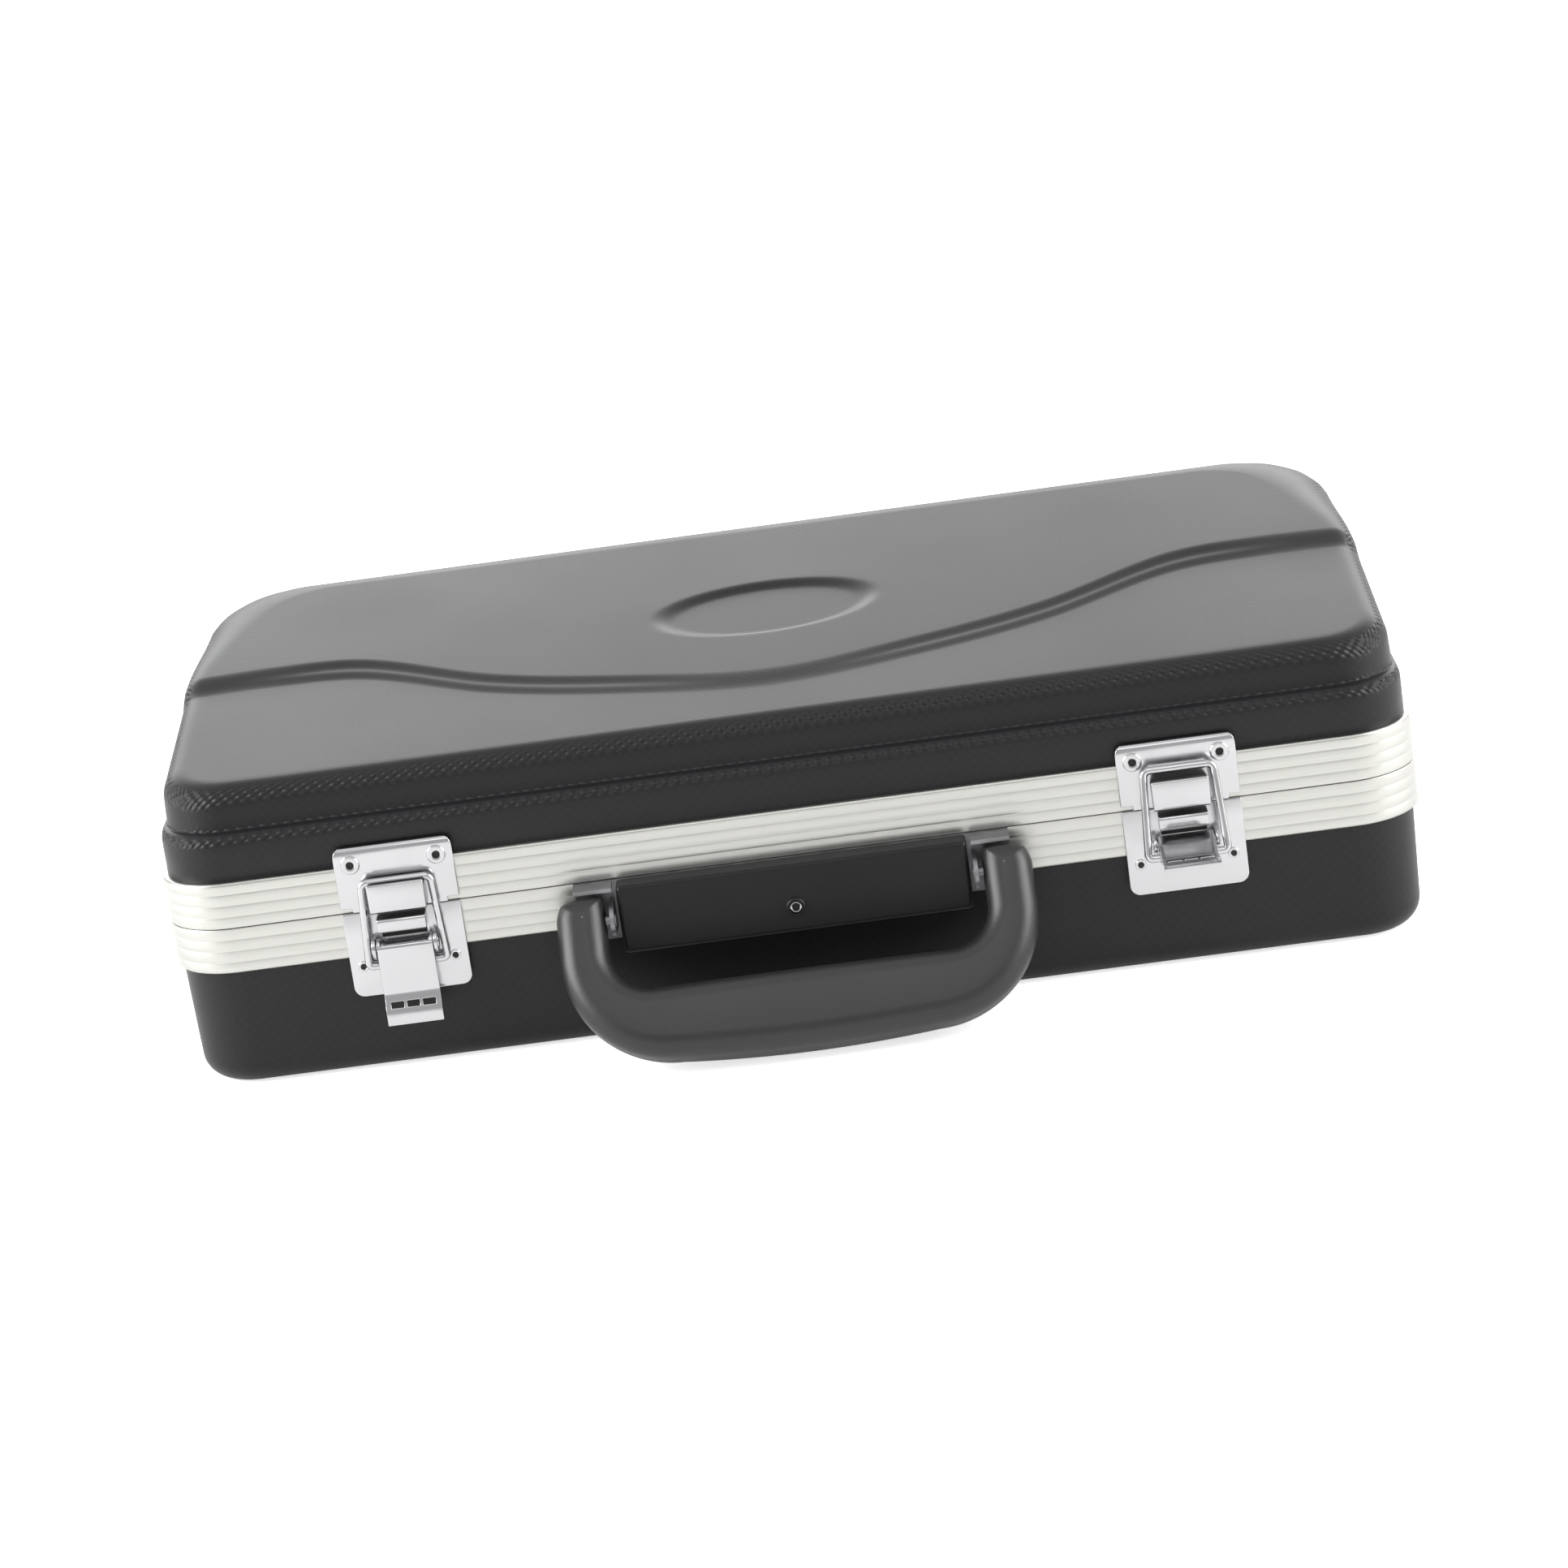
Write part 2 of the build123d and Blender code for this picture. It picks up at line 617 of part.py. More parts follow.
for side, sign in latch_sides.items():
    latch_x = sign * latch_offset

    # Lower plate: flat sheet with two ears that hold the lever's pin.
    with BuildPart() as latch_plate:
        with BuildSketch(Plane.XZ.offset(-front_y)):
            with Locations((latch_x, base_top - latch_plate_drop / 2)):
                RectangleRounded(latch_width, latch_plate_drop, latch_corner_radius)
            with Locations((latch_x, base_top - latch_corner_radius)):
                Rectangle(latch_width, 2 * latch_corner_radius)
        extrude(amount=latch_sheet)
        for ear_side in (-1, 1):
            ear_x = latch_x + ear_side * (lever_width / 2 + part_clearance + ear_sheet / 2)
            rod_x(ear_x - ear_sheet / 2, ear_x + ear_sheet / 2, pivot_y, pivot_z, ear_radius)
            front_box(
                ear_x,
                ear_sheet,
                front_y - latch_sheet / 2,
                pivot_y,
                pivot_z - ear_radius,
                pivot_z + ear_radius,
            )
        rod_x(
            latch_x - latch_width / 2,
            latch_x + latch_width / 2,
            pivot_y,
            pivot_z,
            lever_pin_radius,
            Mode.SUBTRACT,
        )
        plate_rivet_holes(latch_x, plate_rivet_spacing, seam_height - plate_rivet_drop)
    save(latch_plate.part, "latch_plate_" + side)

    # Upper plate: flat sheet with the raised catch that the bail's bar is drawn down on.
    with BuildPart() as catch_plate:
        with BuildSketch(Plane.XZ.offset(-front_y)):
            with Locations((latch_x, lid_bottom + catch_plate_rise / 2)):
                RectangleRounded(latch_width, catch_plate_rise, latch_corner_radius)
            with Locations((latch_x, lid_bottom + latch_corner_radius)):
                Rectangle(latch_width, 2 * latch_corner_radius)
        extrude(amount=latch_sheet)
        lip_back = bar_y - bail_wire_radius - catch_lip_gap
        lip_front = lip_back - catch_lip_wall
        with BuildSketch(Plane.YZ.offset(latch_x - catch_width / 2)):
            with BuildLine():
                Polyline(
                    (front_y - latch_sheet / 2, catch_floor),
                    (lip_back, catch_floor),
                    (lip_back, seam_height + catch_lip_rise),
                    (lip_front, seam_height + catch_lip_rise),
                    (lip_front, catch_floor - catch_lip_depth),
                    (front_y - latch_sheet - catch_foot_depth, seam_height + catch_bottom_rise),
                    (front_y - latch_sheet / 2, seam_height + catch_bottom_rise),
                    close=True,
                )
            make_face()
        extrude(amount=catch_width)
        plate_rivet_holes(latch_x, catch_rivet_spacing, seam_height + catch_rivet_rise)
    save(catch_plate.part, "catch_plate_" + side)

    # Lever: a pressed channel that turns on the plate's pin, with a slotted finger lip at its end.
    with BuildPart() as lever:
        for flange_side in (-1, 1):
            add(lever_flange(latch_x + flange_side * (lever_width - lever_sheet) / 2))
        front_box(latch_x, lever_width, face_y, face_y + lever_sheet, lip_top_z, lever_top_z)
        with BuildSketch(Plane.YZ.offset(latch_x - lever_width / 2)):
            with BuildLine():
                Polyline(
                    (face_y, lip_top_z),
                    (face_y + lever_sheet, lip_top_z),
                    (lip_end_y + lever_sheet, lip_end_z),
                    (lip_end_y, lip_end_z),
                    close=True,
                )
            make_face()
        extrude(amount=lever_width)
        rod_x(
            latch_x - lever_width,
            latch_x + lever_width,
            pivot_y,
            pivot_z,
            lever_pin_radius + running_clearance,
            Mode.SUBTRACT,
        )
        rod_x(
            latch_x - lever_width,
            latch_x + lever_width,
            bail_pivot_y,
            bail_pivot_z,
            bail_wire_radius + running_clearance,
            Mode.SUBTRACT,
        )
        for slot in (-1, 0, 1):
            front_box(
                latch_x + slot * (lever_slot_width + lever_slot_gap),
                lever_slot_width,
                face_y - lever_slot_cut,
                face_y + lever_slot_cut,
                lip_top_z - lever_slot_height,
                lip_top_z,
                Mode.SUBTRACT,
            )

    # Bail: a bent wire loop whose ends turn in through the lever's sides.
    end_x = lever_width / 2 - lever_sheet - bail_end_gap
    with BuildPart() as bail:
        with BuildLine():
            FilletPolyline(
                (latch_x - end_x, bail_pivot_y, bail_pivot_z),
                (latch_x - bail_half_width_bottom, bail_pivot_y, bail_pivot_z),
                (latch_x - bail_half_width_top, bar_y, bar_z),
                (latch_x + bail_half_width_top, bar_y, bar_z),
                (latch_x + bail_half_width_bottom, bail_pivot_y, bail_pivot_z),
                (latch_x + end_x, bail_pivot_y, bail_pivot_z),
                radius=[bail_bend_radius, bail_corner_radius, bail_corner_radius, bail_bend_radius],
            )
        wire_start = (latch_x - end_x, bail_pivot_y, bail_pivot_z)
        with BuildSketch(Plane(origin=wire_start, z_dir=(-1, 0, 0))):
            Circle(bail_wire_radius)
        sweep()
    lever_piece = lever.part
    bail_piece = bail.part
    if side == "right":
        # The right latch is thrown open: its lever is swung out and the bail has followed it.
        bail_piece = turned(bail_piece, lever_open_angle * bail_ratio, bail_pivot_y, bail_pivot_z)
        bail_piece = turned(bail_piece, lever_open_angle, pivot_y, pivot_z)
        lever_piece = turned(lever_piece, lever_open_angle, pivot_y, pivot_z)
    save(lever_piece, "lever_" + side)
    save(bail_piece, "bail_" + side)

# The levers' pins are riveted over outside the ears.
with BuildPart() as lever_pins:
    ear_outer = lever_width / 2 + part_clearance + ear_sheet
    for sign in latch_sides.values():
        latch_x = sign * latch_offset
        rod_x(latch_x - ear_outer, latch_x + ear_outer, pivot_y, pivot_z, lever_pin_radius)
        for end in (-1, 1):
            head_x = latch_x + end * ear_outer
            rod_x(head_x, head_x + end * pin_head_height, pivot_y, pivot_z, pin_head_radius)
save(lever_pins.part, "lever_pins")


def plate_rivets(spacing, height, head_radius):
    """Rivets through both latches' plates, one each side of each plate's middle."""
    for sign in latch_sides.values():
        for rivet_side in (-1, 1):
            rivet_x = sign * latch_offset + rivet_side * spacing / 2
            head_y = front_y - latch_sheet
            rod_y(rivet_x, head_y - rivet_head_height, head_y, height, head_radius)
            rod_y(rivet_x, head_y, front_y, height, rivet_shank_radius)


with BuildPart() as latch_rivets:
    plate_rivets(plate_rivet_spacing, seam_height - plate_rivet_drop, plate_rivet_radius)
save(latch_rivets.part, "latch_rivets")

with BuildPart() as catch_rivets:
    plate_rivets(catch_rivet_spacing, seam_height + catch_rivet_rise, catch_rivet_radius)
save(catch_rivets.part, "catch_rivets")

# ================================================================ handle

bracket_front = front_y - bracket_sheet
bracket_low = base_top - bracket_height
screw_z = base_top - screw_drop

# The bracket is a steel strip with two ears for the handle's pins and a flange above each leg.
with BuildPart() as handle_bracket:
    front_box(0, bracket_width, bracket_front, front_y, bracket_low, base_top)
    for end in (-1, 1):
        ear_x = end * (bracket_ear_half_gap + bracket_sheet / 2)
        ear_inner = ear_x - bracket_sheet / 2
        ear_outer = ear_x + bracket_sheet / 2
        rod_x(ear_inner, ear_outer, handle_pivot_y, handle_pivot_height, bracket_ear_radius)
        front_box(
            ear_x,
            bracket_sheet,
            handle_pivot_y,
            bracket_front,
            handle_pivot_height - bracket_ear_radius,
            handle_pivot_height + bracket_ear_radius,
        )
        flange_x = end * (bracket_ear_half_gap + bracket_width / 2) / 2
        front_box(
            flange_x,
            bracket_width / 2 - bracket_ear_half_gap,
            bracket_front - bracket_flange_depth + bracket_sheet,
            bracket_front,
            base_top - bracket_sheet,
            base_top,
        )
        rod_x(
            ear_inner - cut_margin,
            ear_outer + cut_margin,
            handle_pivot_y,
            handle_pivot_height,
            handle_pin_radius,
            Mode.SUBTRACT,
        )
        rod_y(
            end * bracket_rivet_spacing / 2,
            bracket_front - cut_margin,
            front_y + cut_margin,
            handle_pivot_height,
            rivet_shank_radius,
            Mode.SUBTRACT,
        )
    rod_y(0, bracket_front - cut_margin, front_y + cut_margin, screw_z, screw_shank_radius, Mode.SUBTRACT)
save(handle_bracket.part, "handle_bracket")

with BuildPart() as bracket_rivets:
    for end in (-1, 1):
        rivet_x = end * bracket_rivet_spacing / 2
        head_y = bracket_front - rivet_head_height
        rod_y(rivet_x, head_y, bracket_front, handle_pivot_height, bracket_rivet_radius)
        rod_y(rivet_x, bracket_front, front_y, handle_pivot_height, rivet_shank_radius)
save(bracket_rivets.part, "bracket_rivets")

# The cover is a black plastic box over the bracket, open at the back, with a boss for its screw.
cover_back = bracket_front
cover_front = cover_back - cover_depth
cover_low = base_top - cover_height
with BuildPart() as handle_cover:
    front_box(0, cover_width, cover_front, cover_back, cover_low, base_top)
    front_edges = handle_cover.faces().sort_by(Axis.Y)[0].edges()
    fillet(front_edges, cover_edge_radius)
    front_box(
        0,
        cover_width - 2 * cover_wall,
        cover_front + cover_wall,
        cover_back,
        cover_low + cover_wall,
        base_top - cover_wall,
        Mode.SUBTRACT,
    )
    rod_y(0, cover_front + cover_wall, cover_back, screw_z, cover_boss_radius)
    rod_y(0, cover_front - cut_margin, cover_back, screw_z, screw_shank_radius, Mode.SUBTRACT)
save(handle_cover.part, "handle_cover")

with BuildPart() as handle_screw:
    head_front = cover_front - screw_head_height
    rod_y(0, head_front, cover_front, screw_z, screw_head_radius)
    fillet(handle_screw.faces().sort_by(Axis.Y)[0].edges(), screw_head_height / 2)
    rod_y(0, cover_front, front_y, screw_z, screw_shank_radius)
    rod_y(0, head_front, head_front + screw_head_height / 2, screw_z, screw_socket_radius, Mode.SUBTRACT)
save(handle_screw.part, "handle_screw")

with BuildPart() as handle_pins:
    for end in (-1, 1):
        inner_x = end * (bracket_ear_half_gap - pin_head_height)
        outer_x = end * (leg_inner + handle_pin_depth)
        rod_x(inner_x, outer_x, handle_pivot_y, handle_pivot_height, handle_pin_radius)
save(handle_pins.part, "handle_pins")

# The handle is one moulded D: round-topped legs, wide corners and a thicker, slightly bellied grip.
with BuildPart() as handle_grip:
    grip_top = -(handle_reach - handle_grip_height)
    belly_x = handle_width / 2 - handle_corner_radius
    side_low = -(handle_reach - handle_belly_sag - handle_corner_radius)
    belly_low = side_low - handle_corner_radius
    leg_round = handle_leg_width / 2
    pin_hole_end = leg_inner + handle_pin_depth + part_clearance
    with BuildSketch(Plane.XZ.offset(-handle_grip_thickness / 2)):
        with BuildLine():
            left = Line((-handle_width / 2, 0), (-handle_width / 2, side_low))
            corner_left = RadiusArc(left @ 1, (-belly_x, belly_low), -handle_corner_radius)
            belly = ThreePointArc(corner_left @ 1, (0, -handle_reach), (belly_x, belly_low))
            corner_right = RadiusArc(belly @ 1, (handle_width / 2, side_low), -handle_corner_radius)
            right = Line(corner_right @ 1, (handle_width / 2, 0))
            top_right = ThreePointArc(right @ 1, (leg_mid, leg_round), (leg_inner, 0))
            inner_right = Line(top_right @ 1, (leg_inner, grip_top + handle_inner_radius))
            bend_x = leg_inner - handle_inner_radius
            bend_right = RadiusArc(inner_right @ 1, (bend_x, grip_top), handle_inner_radius)
            top = Line(bend_right @ 1, (-bend_x, grip_top))
            bend_left = RadiusArc(top @ 1, (-leg_inner, grip_top + handle_inner_radius), handle_inner_radius)
            inner_left = Line(bend_left @ 1, (-leg_inner, 0))
            ThreePointArc(inner_left @ 1, (-leg_mid, leg_round), left @ 0)
        make_face()
    extrude(amount=handle_grip_thickness)
    with BuildSketch(Plane.XY.offset(-handle_reach - cut_margin)):
        with BuildLine():
            front_side = ThreePointArc(
                (-handle_width / 2, -handle_leg_thickness / 2),
                (0, -handle_grip_thickness / 2),
                (handle_width / 2, -handle_leg_thickness / 2),
            )
            right_side = Line(front_side @ 1, (handle_width / 2, handle_leg_thickness / 2))
            back_side = ThreePointArc(
                right_side @ 1,
                (0, handle_grip_thickness / 2),
                (-handle_width / 2, handle_leg_thickness / 2),
            )
            Line(back_side @ 1, front_side @ 0)
        make_face()
    extrude(amount=handle_reach + leg_round + 2 * cut_margin, mode=Mode.INTERSECT)
    fillet(handle_grip.edges().filter_by(Axis.Y, reverse=True), handle_edge_radius)
    for end in (-1, 1):
        rod_x(
            end * (leg_inner - cut_margin),
            end * pin_hole_end,
            0,
            0,
            handle_pin_radius + running_clearance,
            Mode.SUBTRACT,
        )
handle_piece = handle_grip.part.moved(Location((0, handle_pivot_y, handle_pivot_height)))
save(turned(handle_piece, handle_tilt, handle_pivot_y, handle_pivot_height), "handle_grip")

# ================================================================ hinges


def hinge_leaf(x, side_of_seam, knuckles, bore_radius):
    """One leaf of a hinge, with its plate, arms and knuckles, below (-1) or above (1) the seam."""
    plate_near = seam_height + side_of_seam * hinge_leaf_start
    plate_far = plate_near + side_of_seam * hinge_leaf_height
    knuckle_width = hinge_knuckle - hinge_knuckle_gap
    front_box(
        x,
        hinge_width,
        back_y,
        back_y + hinge_sheet,
        min(plate_near, plate_far),
        max(plate_near, plate_far),
    )
    arm_far = seam_height + side_of_seam * hinge_barrel_radius
    for knuckle in knuckles:
        knuckle_x = x + knuckle * hinge_knuckle
        rod_x(
            knuckle_x - knuckle_width / 2,
            knuckle_x + knuckle_width / 2,
            hinge_axis_y,
            seam_height,
            hinge_barrel_radius,
        )
        front_box(
            knuckle_x,
            knuckle_width,
            back_y,
            hinge_axis_y,
            min(plate_near, arm_far),
            max(plate_near, arm_far),
        )
    for rivet_side in (-1, 1):
        rod_y(
            x + rivet_side * hinge_rivet_spacing / 2,
            back_y - cut_margin,
            back_y + hinge_sheet + cut_margin,
            seam_height + side_of_seam * hinge_rivet_drop,
            rivet_shank_radius,
            Mode.SUBTRACT,
        )
    rod_x(x - hinge_width, x + hinge_width, hinge_axis_y, seam_height, bore_radius, Mode.SUBTRACT)


for side, sign in latch_sides.items():
    hinge_x = sign * hinge_offset
    with BuildPart() as hinge_base:
        hinge_leaf(hinge_x, -1, (-1, 1), hinge_pin_radius)
    save(hinge_base.part, "hinge_leaf_base_" + side)
    with BuildPart() as hinge_lid:
        hinge_leaf(hinge_x, 1, (0,), hinge_pin_radius + running_clearance)
    save(hinge_lid.part, "hinge_leaf_lid_" + side)

with BuildPart() as hinge_pins:
    for sign in latch_sides.values():
        hinge_x = sign * hinge_offset
        pin_half = (hinge_knuckle * hinge_knuckle_count - hinge_knuckle_gap) / 2
        rod_x(hinge_x - pin_half, hinge_x + pin_half, hinge_axis_y, seam_height, hinge_pin_radius)
save(hinge_pins.part, "hinge_pins")


def leaf_rivets(height):
    """Rivets through both hinges' leaves at one height."""
    for sign in latch_sides.values():
        for rivet_side in (-1, 1):
            rivet_x = sign * hinge_offset + rivet_side * hinge_rivet_spacing / 2
            head_y = back_y + hinge_sheet
            rod_y(rivet_x, head_y, head_y + rivet_head_height, height, hinge_rivet_radius)
            rod_y(rivet_x, back_y, head_y, height, rivet_shank_radius)


with BuildPart() as hinge_rivets_base:
    leaf_rivets(seam_height - hinge_rivet_drop)
save(hinge_rivets_base.part, "hinge_rivets_base")

with BuildPart() as hinge_rivets_lid:
    leaf_rivets(seam_height + hinge_rivet_drop)
save(hinge_rivets_lid.part, "hinge_rivets_lid")
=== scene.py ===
"""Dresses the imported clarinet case: shells, ribbed valances, plated latches, handle and plush lining."""

import math

import bmesh
import bpy
from mathutils import Matrix, Vector


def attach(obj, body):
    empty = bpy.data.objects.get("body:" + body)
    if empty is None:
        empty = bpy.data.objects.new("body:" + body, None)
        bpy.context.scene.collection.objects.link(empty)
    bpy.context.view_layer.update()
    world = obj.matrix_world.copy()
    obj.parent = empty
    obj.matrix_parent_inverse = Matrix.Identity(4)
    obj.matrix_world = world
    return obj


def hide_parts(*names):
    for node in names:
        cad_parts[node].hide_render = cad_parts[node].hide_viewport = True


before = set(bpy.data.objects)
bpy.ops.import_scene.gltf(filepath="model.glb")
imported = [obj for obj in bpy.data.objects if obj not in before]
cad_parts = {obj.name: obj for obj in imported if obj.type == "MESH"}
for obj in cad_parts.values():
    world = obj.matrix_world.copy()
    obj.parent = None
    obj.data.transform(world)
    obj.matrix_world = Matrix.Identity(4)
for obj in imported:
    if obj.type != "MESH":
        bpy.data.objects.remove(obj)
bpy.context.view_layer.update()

# ---------------------------------------------------------------- lower shell
# The lower half is a tub of black ABS, vacuum formed over a mould with rounded lower edges. Its skin
# is embossed with a fine slanting twill, so it gives a soft grey sheen and never a sharp reflection.
MM = 0.001
CASE_LENGTH = 360 * MM
CASE_DEPTH = 164 * MM
NOISE_SPREAD = (0.3, 0.7)


def colour(hex_code):
    """An sRGB hex colour as the linear RGBA that shaders take."""
    channels = [int(hex_code[i : i + 2], 16) / 255 for i in (1, 3, 5)]
    linear = [c / 12.92 if c <= 0.04045 else ((c + 0.055) / 1.055) ** 2.4 for c in channels]
    return (*linear, 1.0)


def add_node(tree, kind, settings=None, inputs=None):
    """Adds a node with its properties, and its inputs as plain values or as the sockets that feed them."""
    node = tree.nodes.new(kind)
    for name, value in (settings or {}).items():
        setattr(node, name, value)
    for name, value in (inputs or {}).items():
        if isinstance(value, bpy.types.NodeSocket):
            tree.links.new(value, node.inputs[name])
        else:
            node.inputs[name].default_value = value
    return node


def new_material(name):
    """An empty node material, with its tree and the shader that its output shows."""
    material = bpy.data.materials.new(name)
    material.use_nodes = True
    tree = material.node_tree
    shader = tree.nodes["Principled BSDF"]
    return material, tree, shader


def place(tree):
    """The Object coordinate of the point being shaded, in metres."""
    return add_node(tree, "ShaderNodeTexCoord").outputs["Object"]


def show_in_tone(tree, shader, pattern, darker, lighter):
    """Colours a surface between two hex tones, as a pattern from 0 to 1 says."""
    tone = add_node(
        tree,
        "ShaderNodeMix",
        {"data_type": "RGBA"},
        {"Factor": pattern, "A": colour(darker), "B": colour(lighter)},
    )
    tree.links.new(tone.outputs["Result"], shader.inputs["Base Color"])


def show_in_gloss(tree, shader, noise, low, high):
    """Lets the roughness of a surface wander between two values with a noise."""
    low_noise, high_noise = NOISE_SPREAD
    gloss = add_node(
        tree,
        "ShaderNodeMapRange",
        None,
        {"Value": noise, "From Min": low_noise, "From Max": high_noise, "To Min": low, "To Max": high},
    )
    tree.links.new(gloss.outputs["Result"], shader.inputs["Roughness"])


def show_in_relief(tree, shader, pattern, height, strength=1.0):
    """Raises a surface by up to a height in metres, as a pattern from 0 to 1 says."""
    relief = add_node(
        tree, "ShaderNodeBump", None, {"Height": pattern, "Distance": height, "Strength": strength}
    )
    tree.links.new(relief.outputs["Normal"], shader.inputs["Normal"])


# Vacuum-formed ABS: IOR 1.5. The embossing is a diamond of two crossing sets of fine ribs, which
# scatters the gloss: it looks satin, with small slanting glints where an edge turns to the light.
WEAVE_PITCH = 2.4 * MM
WEAVE_HEIGHT = 0.36 * MM
WEAVE_ON_TOP = 0.02
WEAVE_ON_WALLS = 0.03
WALLS_TURN_UP = (0.08, 0.35)
EDGES_LIE_FLAT = (0.72, 0.88)
ENDS_START = 126 * MM
CLOUD_SIZE = 55 * MM
abs_shell, tree, shader = new_material("embossed_black_abs")
point = place(tree)
spot = add_node(tree, "ShaderNodeSeparateXYZ", None, {0: point})
outward = add_node(tree, "ShaderNodeTexCoord").outputs["Normal"]
facing = add_node(tree, "ShaderNodeSeparateXYZ", None, {0: outward})

# The pattern runs round the walls and climbs over every edge without a break: its run goes on round a
# corner as the point leaves the front, and its climb goes on inward from the nearest side.
inward = []
for axis, reach in (("X", CASE_LENGTH / 2), ("Y", CASE_DEPTH / 2)):
    away = add_node(tree, "ShaderNodeMath", {"operation": "ABSOLUTE"}, {0: spot.outputs[axis]})
    inward.append(add_node(tree, "ShaderNodeMath", {"operation": "SUBTRACT"}, {0: reach, 1: away.outputs[0]}))
end_side = add_node(
    tree,
    "ShaderNodeMapRange",
    None,
    {
        "Value": spot.outputs["X"],
        "From Min": -ENDS_START,
        "From Max": ENDS_START,
        "To Min": -1.0,
        "To Max": 1.0,
    },
)
run = add_node(
    tree,
    "ShaderNodeMath",
    {"operation": "MULTIPLY_ADD"},
    {0: inward[1].outputs[0], 1: end_side.outputs["Result"], 2: spot.outputs["X"]},
)
nearest = add_node(
    tree, "ShaderNodeMath", {"operation": "MINIMUM"}, {0: inward[0].outputs[0], 1: inward[1].outputs[0]}
)
climb = add_node(tree, "ShaderNodeMath", {"operation": "ADD"}, {0: nearest.outputs[0], 1: spot.outputs["Z"]})
turn = 2 * math.pi / WEAVE_PITCH / math.sqrt(2)
ribs = []
for lean in (-1, 1):
    leaning = add_node(tree, "ShaderNodeMath", {"operation": "MULTIPLY"}, {0: run.outputs[0], 1: lean})
    slant = add_node(tree, "ShaderNodeMath", {"operation": "ADD"}, {0: leaning.outputs[0], 1: climb.outputs[0]})
    phase = add_node(tree, "ShaderNodeMath", {"operation": "MULTIPLY"}, {0: slant.outputs[0], 1: turn})
    ribs.append(add_node(tree, "ShaderNodeMath", {"operation": "SINE"}, {0: phase.outputs[0]}))
crossed = add_node(
    tree, "ShaderNodeMath", {"operation": "ADD"}, {0: ribs[0].outputs[0], 1: ribs[1].outputs[0]}
)
weave = add_node(
    tree, "ShaderNodeMath", {"operation": "MULTIPLY_ADD"}, {0: crossed.outputs[0], 1: 0.25, 2: 0.5}
)
clouds = add_node(tree, "ShaderNodeTexNoise", None, {"Vector": point, "Scale": 1 / CLOUD_SIZE, "Detail": 2.0})
show_in_tone(tree, shader, weave.outputs[0], "#1b1b1d", "#1f1f21")
show_in_gloss(tree, shader, clouds.outputs["Fac"], 0.39, 0.42)

# The sheet is stretched smooth where it lies flat or stands upright, so the relief is full on the
# rounded edges alone. The ranges are shares of straight up that the skin faces.
share = WEAVE_ON_TOP
for (least, most), before in ((EDGES_LIE_FLAT, 1.0), (WALLS_TURN_UP, WEAVE_ON_WALLS)):
    faded = add_node(
        tree,
        "ShaderNodeMapRange",
        {"interpolation_type": "SMOOTHSTEP"},
        {"Value": facing.outputs["Z"], "From Min": least, "From Max": most, "To Min": before, "To Max": share},
    )
    share = faded.outputs["Result"]
show_in_relief(tree, shader, weave.outputs[0], WEAVE_HEIGHT, share)
shader.inputs["IOR"].default_value = 1.5
shader.inputs["Specular IOR Level"].default_value = 0.28


def finish_node(node, material):
    """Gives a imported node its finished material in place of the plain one."""
    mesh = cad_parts[node].data
    mesh.materials.clear()
    mesh.materials.append(material)


finish_node("base_shell", abs_shell)

# ---------------------------------------------------------------- valances
# Both rims stand in channels of extruded aluminium, bent round the corners and anodised silver. Long
# fine ribs hide scratches, and their grooves read as thin grey lines on a nearly white metal.

# Anodised aluminium looks pale and satin, with faint lines along it from the die. They are drawn wider
# than life, so that they show.
DRAW_LENGTH = 60 * MM
DRAW_WIDTH = 0.6 * MM
anodised, tree, shader = new_material("anodised_aluminium")
streaks = add_node(
    tree,
    "ShaderNodeVectorMath",
    {"operation": "MULTIPLY"},
    {0: place(tree), 1: (1 / DRAW_LENGTH, 1 / DRAW_LENGTH, 1 / DRAW_WIDTH)},
)
draw_lines = add_node(
    tree, "ShaderNodeTexNoise", None, {"Vector": streaks.outputs["Vector"], "Scale": 1.0, "Detail": 3.0}
)
show_in_tone(tree, shader, draw_lines.outputs["Fac"], "#bdbdb9", "#cccbc6")
show_in_gloss(tree, shader, draw_lines.outputs["Fac"], 0.30, 0.42)
shader.inputs["Metallic"].default_value = 1.0

CORNER_RADIUS = 20 * MM
CORNER_STEPS = 18
LOWER_RIM = (35.5, 48.9)
UPPER_RIM = (49.1, 62.5)
LOWER_TONGUE = ((4.1, 48.9), (4.1, 50.3), (5.3, 50.3), (5.3, 40.9), (4.1, 40.9), (4.1, 47.7))
LOWER_INNER = LOWER_TONGUE + ((1.6, 47.7), (1.6, 35.5))
UPPER_INNER = ((1.6, 62.5), (1.6, 50.3), (3.7, 50.3), (3.7, 49.1))
RIB_COUNT = 4
RIB_CROWN = 0.02 * MM
GROOVE_DEPTH = 0.11 * MM
GROOVE_HALF = 0.38 * MM
GROOVE_SHOULDER = 0.6
GROOVE_LIP = 1.2
RIM_ROUND = 0.9 * MM
SEAM_ROUND = 0.2 * MM
RIM_STEPS = 4
MERGE_WITHIN = 0.002 * MM
SHARP_EDGE = math.radians(38)


def linked_piece(name, work, material, sharp=SHARP_EDGE):
    """Turns finished bmesh work into an object of the scene, smooth but for its sharp edges."""
    for edge in work.edges:
        edge.smooth = not edge.is_manifold or edge.calc_face_angle() < sharp
    mesh = bpy.data.meshes.new(name)
    work.to_mesh(mesh)
    work.free()
    for polygon in mesh.polygons:
        polygon.use_smooth = True
    mesh.materials.append(material)
    piece = bpy.data.objects.new(name, mesh)
    bpy.context.scene.collection.objects.link(piece)
    return piece


def stand_for(piece, node, body):
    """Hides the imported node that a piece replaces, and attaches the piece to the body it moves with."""
    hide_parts(node)
    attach(piece, body)


